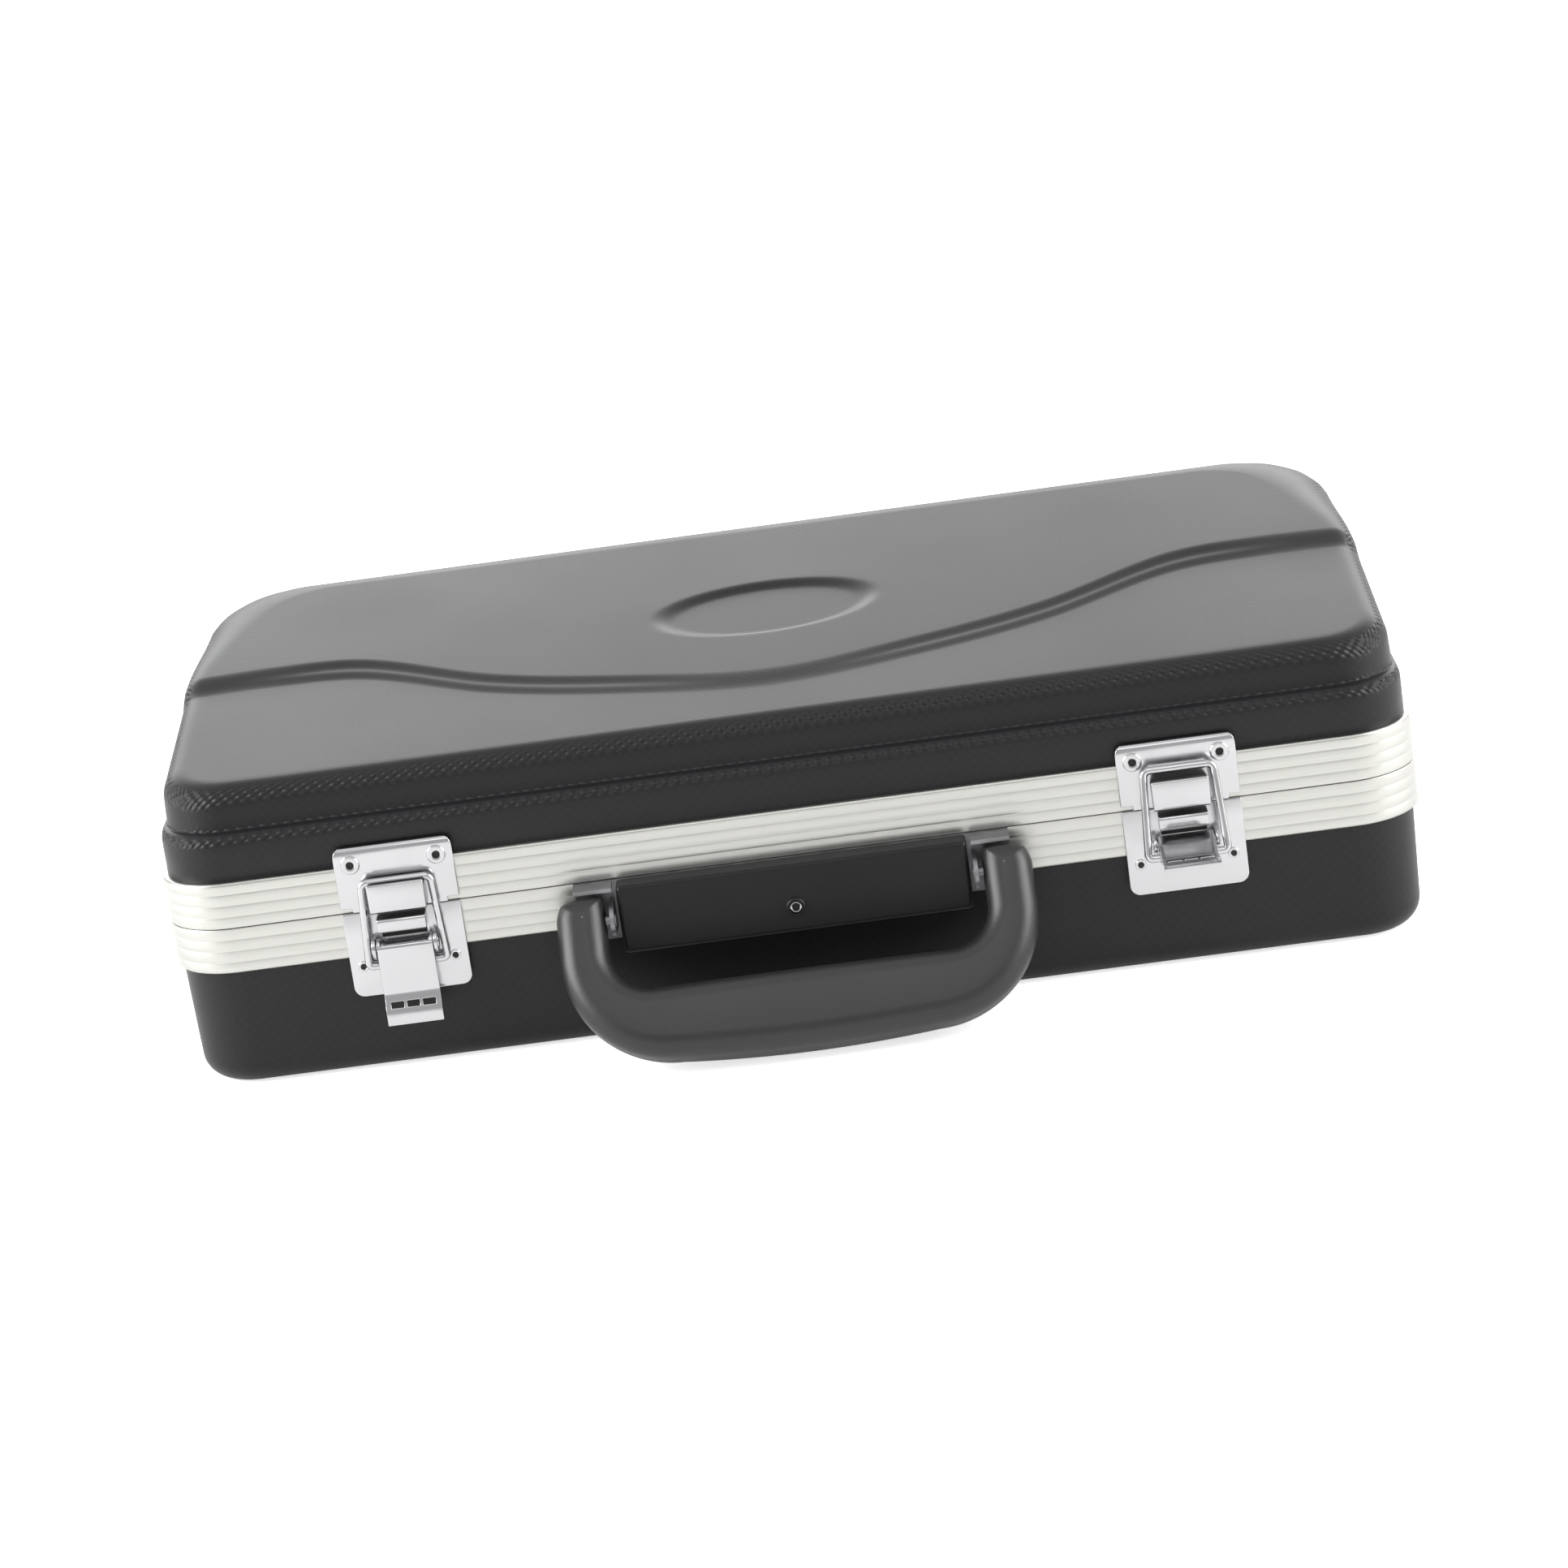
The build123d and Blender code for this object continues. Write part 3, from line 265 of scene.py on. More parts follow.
def drawn_on(work, edges, step):
    """Extrudes a line of edges by a step, and gives the new line's vertices and its edges."""
    made = bmesh.ops.extrude_edge_only(work, edges=edges)["geom"]
    fresh = [item for item in made if isinstance(item, bmesh.types.BMVert)]
    bmesh.ops.translate(work, verts=fresh, vec=step)
    new_edges = [item for item in made if isinstance(item, bmesh.types.BMEdge)]
    return fresh, [edge for edge in new_edges if not set(edge.verts) - set(fresh)]


def drawn_round_case(name, section, material):
    """A closed section, given as insets and heights, drawn round the case's outline."""
    work = bmesh.new()
    half_run = CASE_LENGTH / 2 - CORNER_RADIUS
    half_side = CASE_DEPTH / 2 - CORNER_RADIUS
    verts = [work.verts.new((-half_run, inset - CASE_DEPTH / 2, height)) for inset, height in section]
    last = [work.edges.new((verts[i - 1], verts[i])) for i in range(len(verts))] + verts
    runs = (
        ((2 * half_run, 0, 0), (half_run, -half_side, 0)),
        ((0, 2 * half_side, 0), (half_run, half_side, 0)),
        ((-2 * half_run, 0, 0), (-half_run, half_side, 0)),
        ((0, -2 * half_side, 0), (-half_run, -half_side, 0)),
    )
    for run, corner in runs:
        edges = [item for item in last if isinstance(item, bmesh.types.BMEdge)]
        fresh, rim = drawn_on(work, edges, run)
        last = bmesh.ops.spin(
            work,
            geom=fresh + rim,
            cent=corner,
            axis=(0, 0, 1),
            angle=math.pi / 2,
            steps=CORNER_STEPS,
            use_merge=False,
        )["geom_last"]
    bmesh.ops.remove_doubles(work, verts=work.verts, dist=MERGE_WITHIN)
    bmesh.ops.recalc_face_normals(work, faces=work.faces)
    return linked_piece(name, work, material)


def ribbed_face(low, high, round_low, round_high):
    """The outer face of a valance from its low edge to its high edge: rounded, crowned ribs."""
    face = []
    for step in range(RIM_STEPS + 1):
        turn = math.pi / 2 * step / RIM_STEPS
        face.append((round_low * (1 - math.sin(turn)), low + round_low * (1 - math.cos(turn))))
    for rib in range(RIB_COUNT):
        bottom = low + (high - low) * rib / RIB_COUNT
        top = low + (high - low) * (rib + 1) / RIB_COUNT
        if rib > 0:
            face.append((GROOVE_DEPTH, bottom))
            face.append((GROOVE_DEPTH * GROOVE_SHOULDER, bottom + GROOVE_HALF * GROOVE_SHOULDER))
            face.append((RIB_CROWN, bottom + GROOVE_HALF * GROOVE_LIP))
        face.append((0.0, (bottom + top) / 2))
        if rib < RIB_COUNT - 1:
            face.append((RIB_CROWN, top - GROOVE_HALF * GROOVE_LIP))
            face.append((GROOVE_DEPTH * GROOVE_SHOULDER, top - GROOVE_HALF * GROOVE_SHOULDER))
    for step in range(RIM_STEPS + 1):
        turn = math.pi / 2 * step / RIM_STEPS
        face.append((round_high * (1 - math.cos(turn)), high - round_high * (1 - math.sin(turn))))
    return face


def valance_section(edges, round_low, round_high, inner):
    """The ribbed outer face, joined to the plain inner corners, from edges and corners given in mm."""
    low, high = edges
    return ribbed_face(low * MM, high * MM, round_low, round_high) + [(x * MM, z * MM) for x, z in inner]


lower_rim = valance_section(LOWER_RIM, RIM_ROUND, SEAM_ROUND, LOWER_INNER)
upper_rim = valance_section(UPPER_RIM, SEAM_ROUND, RIM_ROUND, UPPER_INNER)
stand_for(drawn_round_case("lower_valance", lower_rim, anodised), "base_valance", "base")
stand_for(drawn_round_case("upper_valance", upper_rim, anodised), "lid_valance", "lid")

# ---------------------------------------------------------------- plated fittings
# The hinges and the handle's bracket are pressed steel, riveted to the valances. The hinges, like the
# latches, have bright chrome over nickel, and the bracket and pins under the handle are zinc plated.

# Chrome plate mirrors the white room, with dark lines where it turns away, and thin pressed sheet makes
# the mirror wander a little.
RIPPLE_SIZE = 9 * MM
RIPPLE_HEIGHT = 0.02 * MM
chrome, tree, shader = new_material("chrome_plated_steel")
point = place(tree)
ripple = add_node(tree, "ShaderNodeTexNoise", None, {"Vector": point, "Scale": 1 / RIPPLE_SIZE, "Detail": 1.0})
show_in_gloss(tree, shader, ripple.outputs["Fac"], 0.15, 0.22)
show_in_relief(tree, shader, ripple.outputs["Fac"], RIPPLE_HEIGHT)
shader.inputs["Base Color"].default_value = colour("#c2c2c4")
shader.inputs["Metallic"].default_value = 1.0

# Zinc plate dulls to an even grey, with cloudy spangles.
SPANGLE = 3 * MM
zinc, tree, shader = new_material("dulled_zinc_plate")
point = place(tree)
spangle = add_node(tree, "ShaderNodeTexNoise", None, {"Vector": point, "Scale": 1 / SPANGLE, "Detail": 2.0})
show_in_tone(tree, shader, spangle.outputs["Fac"], "#77777a", "#98989b")
show_in_gloss(tree, shader, spangle.outputs["Fac"], 0.38, 0.5)
shader.inputs["Metallic"].default_value = 1.0

PRESSED_EASE = 0.22 * MM
PRESSED_EDGE = math.radians(50)
NEARLY_FLAT = math.radians(1)


def eased_copy(node, name, body, material):
    """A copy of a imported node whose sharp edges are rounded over, as pressing and plating leave them."""
    work = bmesh.new()
    work.from_mesh(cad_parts[node].data)
    bmesh.ops.remove_doubles(work, verts=work.verts, dist=MERGE_WITHIN)
    bmesh.ops.dissolve_limit(work, angle_limit=NEARLY_FLAT, verts=work.verts, edges=work.edges)
    sharp = [edge for edge in work.edges if edge.is_manifold and edge.calc_face_angle() > PRESSED_EDGE]
    bmesh.ops.bevel(
        work,
        geom=sharp,
        offset=PRESSED_EASE,
        affect="EDGES",
        segments=2,
        profile=0.5,
        material=-1,
        clamp_overlap=True,
    )
    piece = linked_piece(name, work, material)
    piece.modifiers.new("flat_faces", "WEIGHTED_NORMAL").keep_sharp = True
    stand_for(piece, node, body)


for side in ("left", "right"):
    eased_copy("hinge_leaf_base_" + side, "lower_hinge_leaf_" + side, "base", chrome)
    eased_copy("hinge_leaf_lid_" + side, "upper_hinge_leaf_" + side, "lid", chrome)
    finish_node("bail_" + side, chrome)
eased_copy("handle_bracket", "handle_strip", "base", zinc)
for node in ("lever_pins", "hinge_pins"):
    finish_node(node, chrome)
for node in ("handle_pins", "bracket_rivets"):
    finish_node(node, zinc)

# ---------------------------------------------------------------- latch plates
# Each latch has two plates of pressed sheet. The lower one has round foot corners and two ears for the
# lever's pin. The upper one's head is bent back to the lid, its foot is notched at both ends, and the
# catch that the wire bail is drawn down on stands proud of it.
LATCH_PLACES = {"left": -111.3 * MM, "right": 111.3 * MM}
PLATE_WIDTH = 34 * MM
PLATE_FACE_Y = -83 * MM
PLATE_SHEET = 1.0 * MM
PLATE_EASE = 0.3 * MM
CUT_EDGE = math.radians(60)
PLATE_CORNER_STEPS = 8
DISC_STEPS = 28
LOWER_HEAD = 48.9 * MM
LOWER_FOOT = 23.9 * MM
LOWER_CORNER = 3.0 * MM
PIVOT_Y = -86.4 * MM
PIVOT_Z = 39 * MM
EAR_RADIUS = 3.2 * MM
EAR_MIDDLE = 8.8 * MM
EAR_ROOT_Y = PLATE_FACE_Y + 0.5 * MM
SMALL_EASE = 0.2 * MM
UPPER_FOOT = 49.1 * MM
UPPER_HEAD = 68.5 * MM
UPPER_CORNER = 4.6 * MM
NOTCH_WIDTH = 3.4 * MM
NOTCH_HEIGHT = 1.4 * MM
BEND_RADIUS = 1.7 * MM
BEND_TAIL = 0.4 * MM
BEND_STEPS = 8
BEND_CUT = 0.0001 * MM
CATCH_WIDTH = 16.2 * MM
CATCH_EASE = 0.4 * MM
CATCH_LIP = 57.8 * MM
CATCH_SECTION = (
    (-82.5, 57.2), (-88.7, 57.2), (-88.7, 58.6), (-89.9, 58.6),
    (-89.8, 50.6), (-88.9, 49.9), (-84.0, 49.8), (-82.5, 49.8),
)
BRIDGE_WIDTH = 14 * MM
BRIDGE_SECTION = ((-82.5, 47.9), (-87.9, 47.9), (-88.5, 47.2), (-88.5, 44.3), (-87.9, 43.6), (-82.5, 43.6))
# Painted shade: a thin near-black sheet, just proud of the plate, over the lever.
SHADE_SHEET_WIDTH = 13 * MM
SHADE_SHEET_SECTION = ((-82.9, 41.0), (-83.08, 41.0), (-83.08, 43.4), (-82.9, 43.4))
LOOKS_UP = 0.7
LOOKS_ANY_WAY = -2.0

# Painted shade: a near-black, dull steel colour on the catch's and bridge's upper faces, on a thin sheet over
# the lever and in the rivets' bores stands for the shade that falls in these gaps and hollows.
STEEL_GRAIN = 0.4 * MM
painted_shade, tree, shader = new_material("painted_shade_steel")
shade_grain = add_node(tree, "ShaderNodeTexNoise", None, {"Vector": place(tree), "Scale": 1 / STEEL_GRAIN})
show_in_tone(tree, shader, shade_grain.outputs["Fac"], "#070707", "#171717")
shader.inputs["Roughness"].default_value = 0.6


def ease_edges(work, ease, steps=3):
    """Rounds over every sharp edge of bmesh work."""
    sharp = [edge for edge in work.edges if edge.is_manifold and edge.calc_face_angle() > SHARP_EDGE]
    bmesh.ops.bevel(work, geom=sharp, offset=ease, affect="EDGES", segments=steps, profile=0.5, material=-1)


def join_into(work, other):
    """Adds one bmesh work to another and frees it."""
    mesh = bpy.data.meshes.new("part_of_piece")
    other.to_mesh(mesh)
    other.free()
    work.from_mesh(mesh)
    bpy.data.meshes.remove(mesh)


def flat_plate(work, middle, outline, corner_verts, corner):
    """One flat face in the plates' front plane, with the named corners of its outline rounded."""
    verts = [work.verts.new((middle + x, PLATE_FACE_Y, z)) for x, z in outline]
    work.faces.new(verts)
    rounded = [verts[index] for index in corner_verts]
    bmesh.ops.bevel(
        work,
        geom=rounded,
        offset=corner,
        affect="VERTICES",
        segments=PLATE_CORNER_STEPS,
        profile=0.5,
        material=-1,
    )


def give_sheet(work, thickness, ease):
    """Gives a skin that faces the front its sheet thickness inward, and eases the cut edges."""
    bmesh.ops.recalc_face_normals(work, faces=work.faces)
    if sum(face.normal.y * face.calc_area() for face in work.faces) > 0:
        bmesh.ops.reverse_faces(work, faces=work.faces)
    bmesh.ops.solidify(work, geom=work.faces[:], thickness=thickness)
    cut = [edge for edge in work.edges if edge.is_manifold and edge.calc_face_angle() > CUT_EDGE]
    bmesh.ops.bevel(work, geom=cut, offset=ease, affect="EDGES", segments=3, profile=0.5, material=-1)


def hulled_sheet(low, high, discs, corners):
    """A flat piece across X whose outline is drawn tight round discs and corners given in Y and Z."""
    work = bmesh.new()
    for x in (low, high):
        for y, z, radius in discs:
            turn = Matrix.Rotation(math.pi / 2, 4, "Y")
            place_disc = Matrix.Translation((x, y, z)) @ turn
            bmesh.ops.create_circle(work, segments=DISC_STEPS, radius=radius, matrix=place_disc)
        for y, z in corners:
            work.verts.new((x, y, z))
    hull = bmesh.ops.convex_hull(work, input=work.verts[:])
    loose = [item for item in hull["geom_interior"] if isinstance(item, bmesh.types.BMVert)]
    bmesh.ops.delete(work, geom=loose, context="VERTS")
    bmesh.ops.dissolve_limit(work, angle_limit=NEARLY_FLAT, verts=work.verts, edges=work.edges)
    bmesh.ops.recalc_face_normals(work, faces=work.faces)
    return work


def prism_along_x(section, middle, width):
    """A bar along X with a flat section, given as places in Y and Z in mm."""
    work = bmesh.new()
    face = work.faces.new([work.verts.new((middle - width / 2, y * MM, z * MM)) for y, z in section])
    made = bmesh.ops.extrude_face_region(work, geom=[face])["geom"]
    fresh = [item for item in made if isinstance(item, bmesh.types.BMVert)]
    bmesh.ops.translate(work, verts=fresh, vec=(width, 0, 0))
    bmesh.ops.recalc_face_normals(work, faces=work.faces)
    return work


def paint_shade_upward(work, steepest):
    """Paints shade on the faces of bmesh work that look up by more than a share, of 1 straight up: they take
    the near-black second material.
    """
    work.normal_update()
    for face in work.faces:
        if face.normal.z > steepest:
            face.material_index = 1


def lower_plate(middle):
    """The lower plate with its ears, a pressed-out bridge between them whose upper faces carry painted shade,
    and a thin dark sheet of painted shade over the lever.
    """
    half = PLATE_WIDTH / 2
    work = bmesh.new()
    outline = ((-half, LOWER_HEAD), (half, LOWER_HEAD), (half, LOWER_FOOT), (-half, LOWER_FOOT))
    flat_plate(work, middle, outline, (2, 3), LOWER_CORNER)
    give_sheet(work, PLATE_SHEET, PLATE_EASE)
    for side in (-1, 1):
        ear_middle = middle + side * EAR_MIDDLE
        ear = hulled_sheet(
            ear_middle - PLATE_SHEET / 2,
            ear_middle + PLATE_SHEET / 2,
            ((PIVOT_Y, PIVOT_Z, EAR_RADIUS),),
            ((EAR_ROOT_Y, PIVOT_Z - EAR_RADIUS), (EAR_ROOT_Y, PIVOT_Z + EAR_RADIUS)),
        )
        ease_edges(ear, SMALL_EASE, 2)
        join_into(work, ear)
    bridge = prism_along_x(BRIDGE_SECTION, middle, BRIDGE_WIDTH)
    ease_edges(bridge, PLATE_EASE, 2)
    # Painted shade: the bridge's upper faces are near-black, for the shade in the gap under the catch.
    paint_shade_upward(bridge, LOOKS_UP)
    join_into(work, bridge)
    # Painted shade: the sheet is near-black all over, for the shade in the gap above the lever.
    shade_sheet = prism_along_x(SHADE_SHEET_SECTION, middle, SHADE_SHEET_WIDTH)
    paint_shade_upward(shade_sheet, LOOKS_ANY_WAY)
    join_into(work, shade_sheet)
    return work


def upper_plate(middle):
    """The upper plate: cut out flat, bent back along its head, and with the catch on its front."""
    half = PLATE_WIDTH / 2
    bend_start = UPPER_HEAD - BEND_RADIUS
    flat_head = bend_start + BEND_RADIUS * math.pi / 2 + BEND_TAIL
    work = bmesh.new()
    outline = (
        (-half + NOTCH_WIDTH, UPPER_FOOT),
        (half - NOTCH_WIDTH, UPPER_FOOT),
        (half - NOTCH_WIDTH, UPPER_FOOT + NOTCH_HEIGHT),
        (half, UPPER_FOOT + NOTCH_HEIGHT),
        (half, flat_head),
        (-half, flat_head),
        (-half, UPPER_FOOT + NOTCH_HEIGHT),
        (-half + NOTCH_WIDTH, UPPER_FOOT + NOTCH_HEIGHT),
    )
    flat_plate(work, middle, outline, (4, 5), UPPER_CORNER)
    for step in range(BEND_STEPS + 1):
        bmesh.ops.bisect_plane(
            work,
            geom=work.verts[:] + work.edges[:] + work.faces[:],
            plane_co=(0, 0, bend_start + BEND_RADIUS * math.pi / 2 * step / BEND_STEPS),
            plane_no=(0, 0, 1),
            dist=BEND_CUT,
        )
    for vert in work.verts:
        over = vert.co.z - bend_start
        turn = min(over / BEND_RADIUS, math.pi / 2)
        if turn > 0:
            vert.co.y = PLATE_FACE_Y + BEND_RADIUS * (1 - math.cos(turn)) + over - turn * BEND_RADIUS
            vert.co.z = bend_start + BEND_RADIUS * math.sin(turn)
    give_sheet(work, PLATE_SHEET, PLATE_EASE)
    catch = prism_along_x(CATCH_SECTION, middle, CATCH_WIDTH)
    ease_edges(catch, CATCH_EASE)
    # Painted shadow: the catch's upward faces below its lip are near-black, for the shadow under the bail's
    # bar.
    paint_shade_upward(catch, LOOKS_UP)
    for face in catch.faces:
        if face.calc_center_median().z > CATCH_LIP:
            face.material_index = 0
    join_into(work, catch)
    return work


for side, middle in LATCH_PLACES.items():
    lower = linked_piece("lower_plate_" + side, lower_plate(middle), chrome)
    stand_for(lower, "latch_plate_" + side, "base")
    upper = linked_piece("upper_plate_" + side, upper_plate(middle), chrome)
    stand_for(upper, "catch_plate_" + side, "lid")
    for plate in (lower, upper):
        plate.data.materials.append(painted_shade)

# ---------------------------------------------------------------- levers
# Each lever is a pressed channel on a pin. Its face runs down into a finger lip with three slots in the
# bend. The left one is closed, and the right one is swung out as far as the wire bail lets it.
LEVER_HALF = 8 * MM
LEVER_SHEET = 1.0 * MM
LEVER_PROFILE = (
    (-88.3, 40.2), (-88.8, 40.1), (-89.1, 39.75), (-89.2, 39.2), (-89.2, 33.0),
    (-89.2, 26.2), (-89.27, 25.4), (-89.65, 24.4), (-89.95, 23.6), (-90.65, 21.9),
    (-90.95, 21.2), (-91.15, 20.2), (-91.3, 19.0), (-91.35, 17.0),
)
SLOT_ROWS = (8,)
LEVER_COLUMNS = (-8.0, -6.4, -2.7, -1.8, 1.8, 2.7, 6.4, 8.0)
SLOT_COLUMNS = (1, 3, 5)
BAIL_Y = -85.6 * MM
BAIL_Z = 33.5 * MM
FLANGE_DISCS = ((PIVOT_Y, PIVOT_Z, 2.7 * MM), (BAIL_Y, BAIL_Z, 2.0 * MM))
FLANGE_CORNERS = ((-88.9 * MM, 39.9 * MM), (-88.9 * MM, 25.8 * MM), (-88.2 * MM, 25.8 * MM))
LEVER_TURNS = {"left": 0.0, "right": math.radians(78)}


def lever_channel(middle):
    """The lever closed: a bent face with slots in its lip, and two flanges that hold the pins."""
    work = bmesh.new()
    y, z = LEVER_PROFILE[0]
    row = [work.verts.new((middle + x * MM, y * MM, z * MM)) for x in LEVER_COLUMNS]
    edges = [work.edges.new(pair) for pair in zip(row, row[1:])]
    for (y, z), (next_y, next_z) in zip(LEVER_PROFILE, LEVER_PROFILE[1:]):
        _, edges = drawn_on(work, edges, (0, (next_y - y) * MM, (next_z - z) * MM))
    slots = []
    for face in work.faces:
        centre = face.calc_center_median()
        across, height = (centre.x - middle) / MM, centre.z / MM
        row_found = [r for r in SLOT_ROWS if LEVER_PROFILE[r + 1][1] < height < LEVER_PROFILE[r][1]]
        column_found = [c for c in SLOT_COLUMNS if LEVER_COLUMNS[c] < across < LEVER_COLUMNS[c + 1]]
        if row_found and column_found:
            slots.append(face)
    bmesh.ops.delete(work, geom=slots, context="FACES")
    give_sheet(work, LEVER_SHEET, SMALL_EASE)
    for side in (-1, 1):
        outer = middle + side * LEVER_HALF
        inner = outer - side * LEVER_SHEET
        flange = hulled_sheet(min(outer, inner), max(outer, inner), FLANGE_DISCS, FLANGE_CORNERS)
        ease_edges(flange, SMALL_EASE, 2)
        join_into(work, flange)
    return work


for side, middle in LATCH_PLACES.items():
    work = lever_channel(middle)
    bmesh.ops.rotate(
        work,
        verts=work.verts,
        cent=(0, PIVOT_Y, PIVOT_Z),
        matrix=Matrix.Rotation(LEVER_TURNS[side], 3, Vector((-1, 0, 0))),
    )
    lever = linked_piece("latch_lever_" + side, work, chrome)
    stand_for(lever, "lever_" + side, "lever_" + side[0])

# ---------------------------------------------------------------- tubular rivets
# The plates are held by hollow rivets of plated steel, two large ones in each upper plate and two small
# ones in each lower plate. Their rolled heads show as bright rings round a small bore, whose dark floor
# is painted shade: a near-black disc just proud of the plate.
RIVET_STEPS = 32
CATCH_RIVET = {"radius": 2.7 * MM, "height": 0.6 * MM, "bore": 1.15 * MM}
CATCH_RIVET_AWAY = 12.3 * MM
CATCH_RIVET_Z = 63.4 * MM
LATCH_RIVET = {"radius": 1.6 * MM, "height": 0.3 * MM, "bore": 0.9 * MM}
LATCH_RIVET_AWAY = 13.2 * MM
LATCH_RIVET_Z = 33.0 * MM
BORE_PROUD = 0.04 * MM


def turned_on_front(work, section, centre):
    """Turns a section about an axis along Y: places away from it, and out to the front of its centre."""
    x, y, z = centre
    verts = [work.verts.new((x + away, y - out, z)) for away, out in section]
    edges = [work.edges.new(pair) for pair in zip(verts, verts[1:])]
    bmesh.ops.spin(
        work,
        geom=verts + edges,
        cent=centre,
        axis=(0, 1, 0),
        angle=2 * math.pi,
        steps=RIVET_STEPS,
        use_merge=True,
    )


def ring_heads(name, node, body, away, z, radius, height, bore):
    """Round hollow heads on the latch plates' faces, two on each, as far away from the plate's middle."""
    work = bmesh.new()
    section = (
        (radius, 0.0),
        (radius, height * 0.45),
        (radius - height * 0.35, height * 0.85),
        ((radius + bore) / 2, height),
        (bore + height * 0.3, height * 0.92),
        (bore, height * 0.75),
        (bore * 0.96, height * 0.55),
        (bore * 0.92, BORE_PROUD),
        (0.0, BORE_PROUD),
    )
    across = [middle + side * away for middle in LATCH_PLACES.values() for side in (-1, 1)]
    for x in across:
        turned_on_front(work, section, (x, PLATE_FACE_Y, z))
    bmesh.ops.remove_doubles(work, verts=work.verts, dist=MERGE_WITHIN)
    bmesh.ops.recalc_face_normals(work, faces=work.faces)
    # Painted shade: the bore's floor takes the near-black second material.
    for face in work.faces:
        centre = face.calc_center_median()
        if min(math.hypot(centre.x - x, centre.z - z) for x in across) < bore * 0.99:
            face.material_index = 1
    piece = linked_piece(name, work, chrome)
    piece.data.materials.append(painted_shade)
    stand_for(piece, node, body)


ring_heads("upper_plate_rivets", "catch_rivets", "lid", CATCH_RIVET_AWAY, CATCH_RIVET_Z, **CATCH_RIVET)
ring_heads("lower_plate_rivets", "latch_rivets", "base", LATCH_RIVET_AWAY, LATCH_RIVET_Z, **LATCH_RIVET)
finish_node("hinge_rivets_base", chrome)
finish_node("hinge_rivets_lid", chrome)

# ---------------------------------------------------------------- handle
# The handle is one thick D of black PVC, moulded over a steel core. Its legs turn on two pins in the
# ears of the bracket, which is riveted to the lower valance under a screwed-on black cover.

# Moulded PVC is dull and slightly pebbled, and hands have polished it unevenly.
PEBBLE_SIZE = 0.9 * MM
PEBBLE_HEIGHT = 0.03 * MM
SHINY_SIZE = 24 * MM
pvc_grip, tree, shader = new_material("moulded_black_pvc")
point = place(tree)
pebbles = add_node(tree, "ShaderNodeTexNoise", None, {"Vector": point, "Scale": 1 / PEBBLE_SIZE, "Detail": 2.0})
shiny = add_node(tree, "ShaderNodeTexNoise", None, {"Vector": point, "Scale": 1 / SHINY_SIZE, "Detail": 2.0})
show_in_gloss(tree, shader, shiny.outputs["Fac"], 0.36, 0.43)
show_in_relief(tree, shader, pebbles.outputs["Fac"], PEBBLE_HEIGHT)
shader.inputs["Base Color"].default_value = colour("#232323")
shader.inputs["IOR"].default_value = 1.53

# The grip's legs end flat across, though round about their pins, with a tighter corner on the inside.
GRIP_LEG_MIDDLE = 60.5 * MM
GRIP_PIVOT = Vector((0, -91.3 * MM, 39.6 * MM))
GRIP_TILT = math.radians(34)
SQUARER_INSIDE = 0.8
SQUARER_OUTSIDE = 0.25
work = bmesh.new()
work.from_mesh(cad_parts["handle_grip"].data)
bmesh.ops.remove_doubles(work, verts=work.verts, dist=MERGE_WITHIN)
upward = Vector((0, math.sin(GRIP_TILT), math.cos(GRIP_TILT)))
for vert in work.verts:
    above = (vert.co - GRIP_PIVOT).dot(upward)
    if above > 0:
        side = math.copysign(1, vert.co.x)
        outward = abs(vert.co.x) - GRIP_LEG_MIDDLE
        share = SQUARER_OUTSIDE if outward > 0 else SQUARER_INSIDE
        reach = max(abs(outward), above)
        grown = 1 + (math.hypot(outward, above) / reach - 1) * share
        vert.co += upward * above * (grown - 1)
        vert.co.x = side * (GRIP_LEG_MIDDLE + outward * grown)
grip = linked_piece("grip", work, pvc_grip)
stand_for(grip, "handle_grip", "handle")

# The cover is polypropylene from a spark-eroded mould, which leaves a very fine even grain. It is drawn
# coarser than life, so that it shows.
SPARK_SIZE = 0.35 * MM
SPARK_HEIGHT = 0.02 * MM
RUBBED_SIZE = 30 * MM
pp_cover, tree, shader = new_material("moulded_black_polypropylene")
point = place(tree)
sparks = add_node(tree, "ShaderNodeTexNoise", None, {"Vector": point, "Scale": 1 / SPARK_SIZE, "Detail": 2.0})
rubbed = add_node(tree, "ShaderNodeTexNoise", None, {"Vector": point, "Scale": 1 / RUBBED_SIZE, "Detail": 2.0})
show_in_gloss(tree, shader, rubbed.outputs["Fac"], 0.42, 0.5)
show_in_relief(tree, shader, sparks.outputs["Fac"], SPARK_HEIGHT)
shader.inputs["Base Color"].default_value = colour("#131315")
shader.inputs["IOR"].default_value = 1.49
shader.inputs["Specular IOR Level"].default_value = 0.3

# It is a box, open at the back, that hides the bracket between the handle's legs.
COVER_WIDTH = 99.6 * MM
COVER_BACK_Y = -83.2 * MM
COVER_FACE_Y = -90.4 * MM
COVER_TOP = 48.9 * MM
COVER_LOW = 28.9 * MM
COVER_EDGE = 1.3 * MM
COVER_WALL = 2.0 * MM
work = bmesh.new()
cover_size = Matrix.Diagonal((COVER_WIDTH, COVER_BACK_Y - COVER_FACE_Y, COVER_TOP - COVER_LOW, 1))
cover_place = Matrix.Translation((0, (COVER_BACK_Y + COVER_FACE_Y) / 2, (COVER_TOP + COVER_LOW) / 2))
bmesh.ops.create_cube(work, size=1.0, matrix=cover_place @ cover_size)
bmesh.ops.delete(work, geom=[face for face in work.faces if face.normal.y > 0.5], context="FACES")
bmesh.ops.bevel(
    work,
    geom=[edge for edge in work.edges if not edge.is_boundary],
    offset=COVER_EDGE,
    affect="EDGES",
    segments=5,
    profile=0.5,
    material=-1,
)
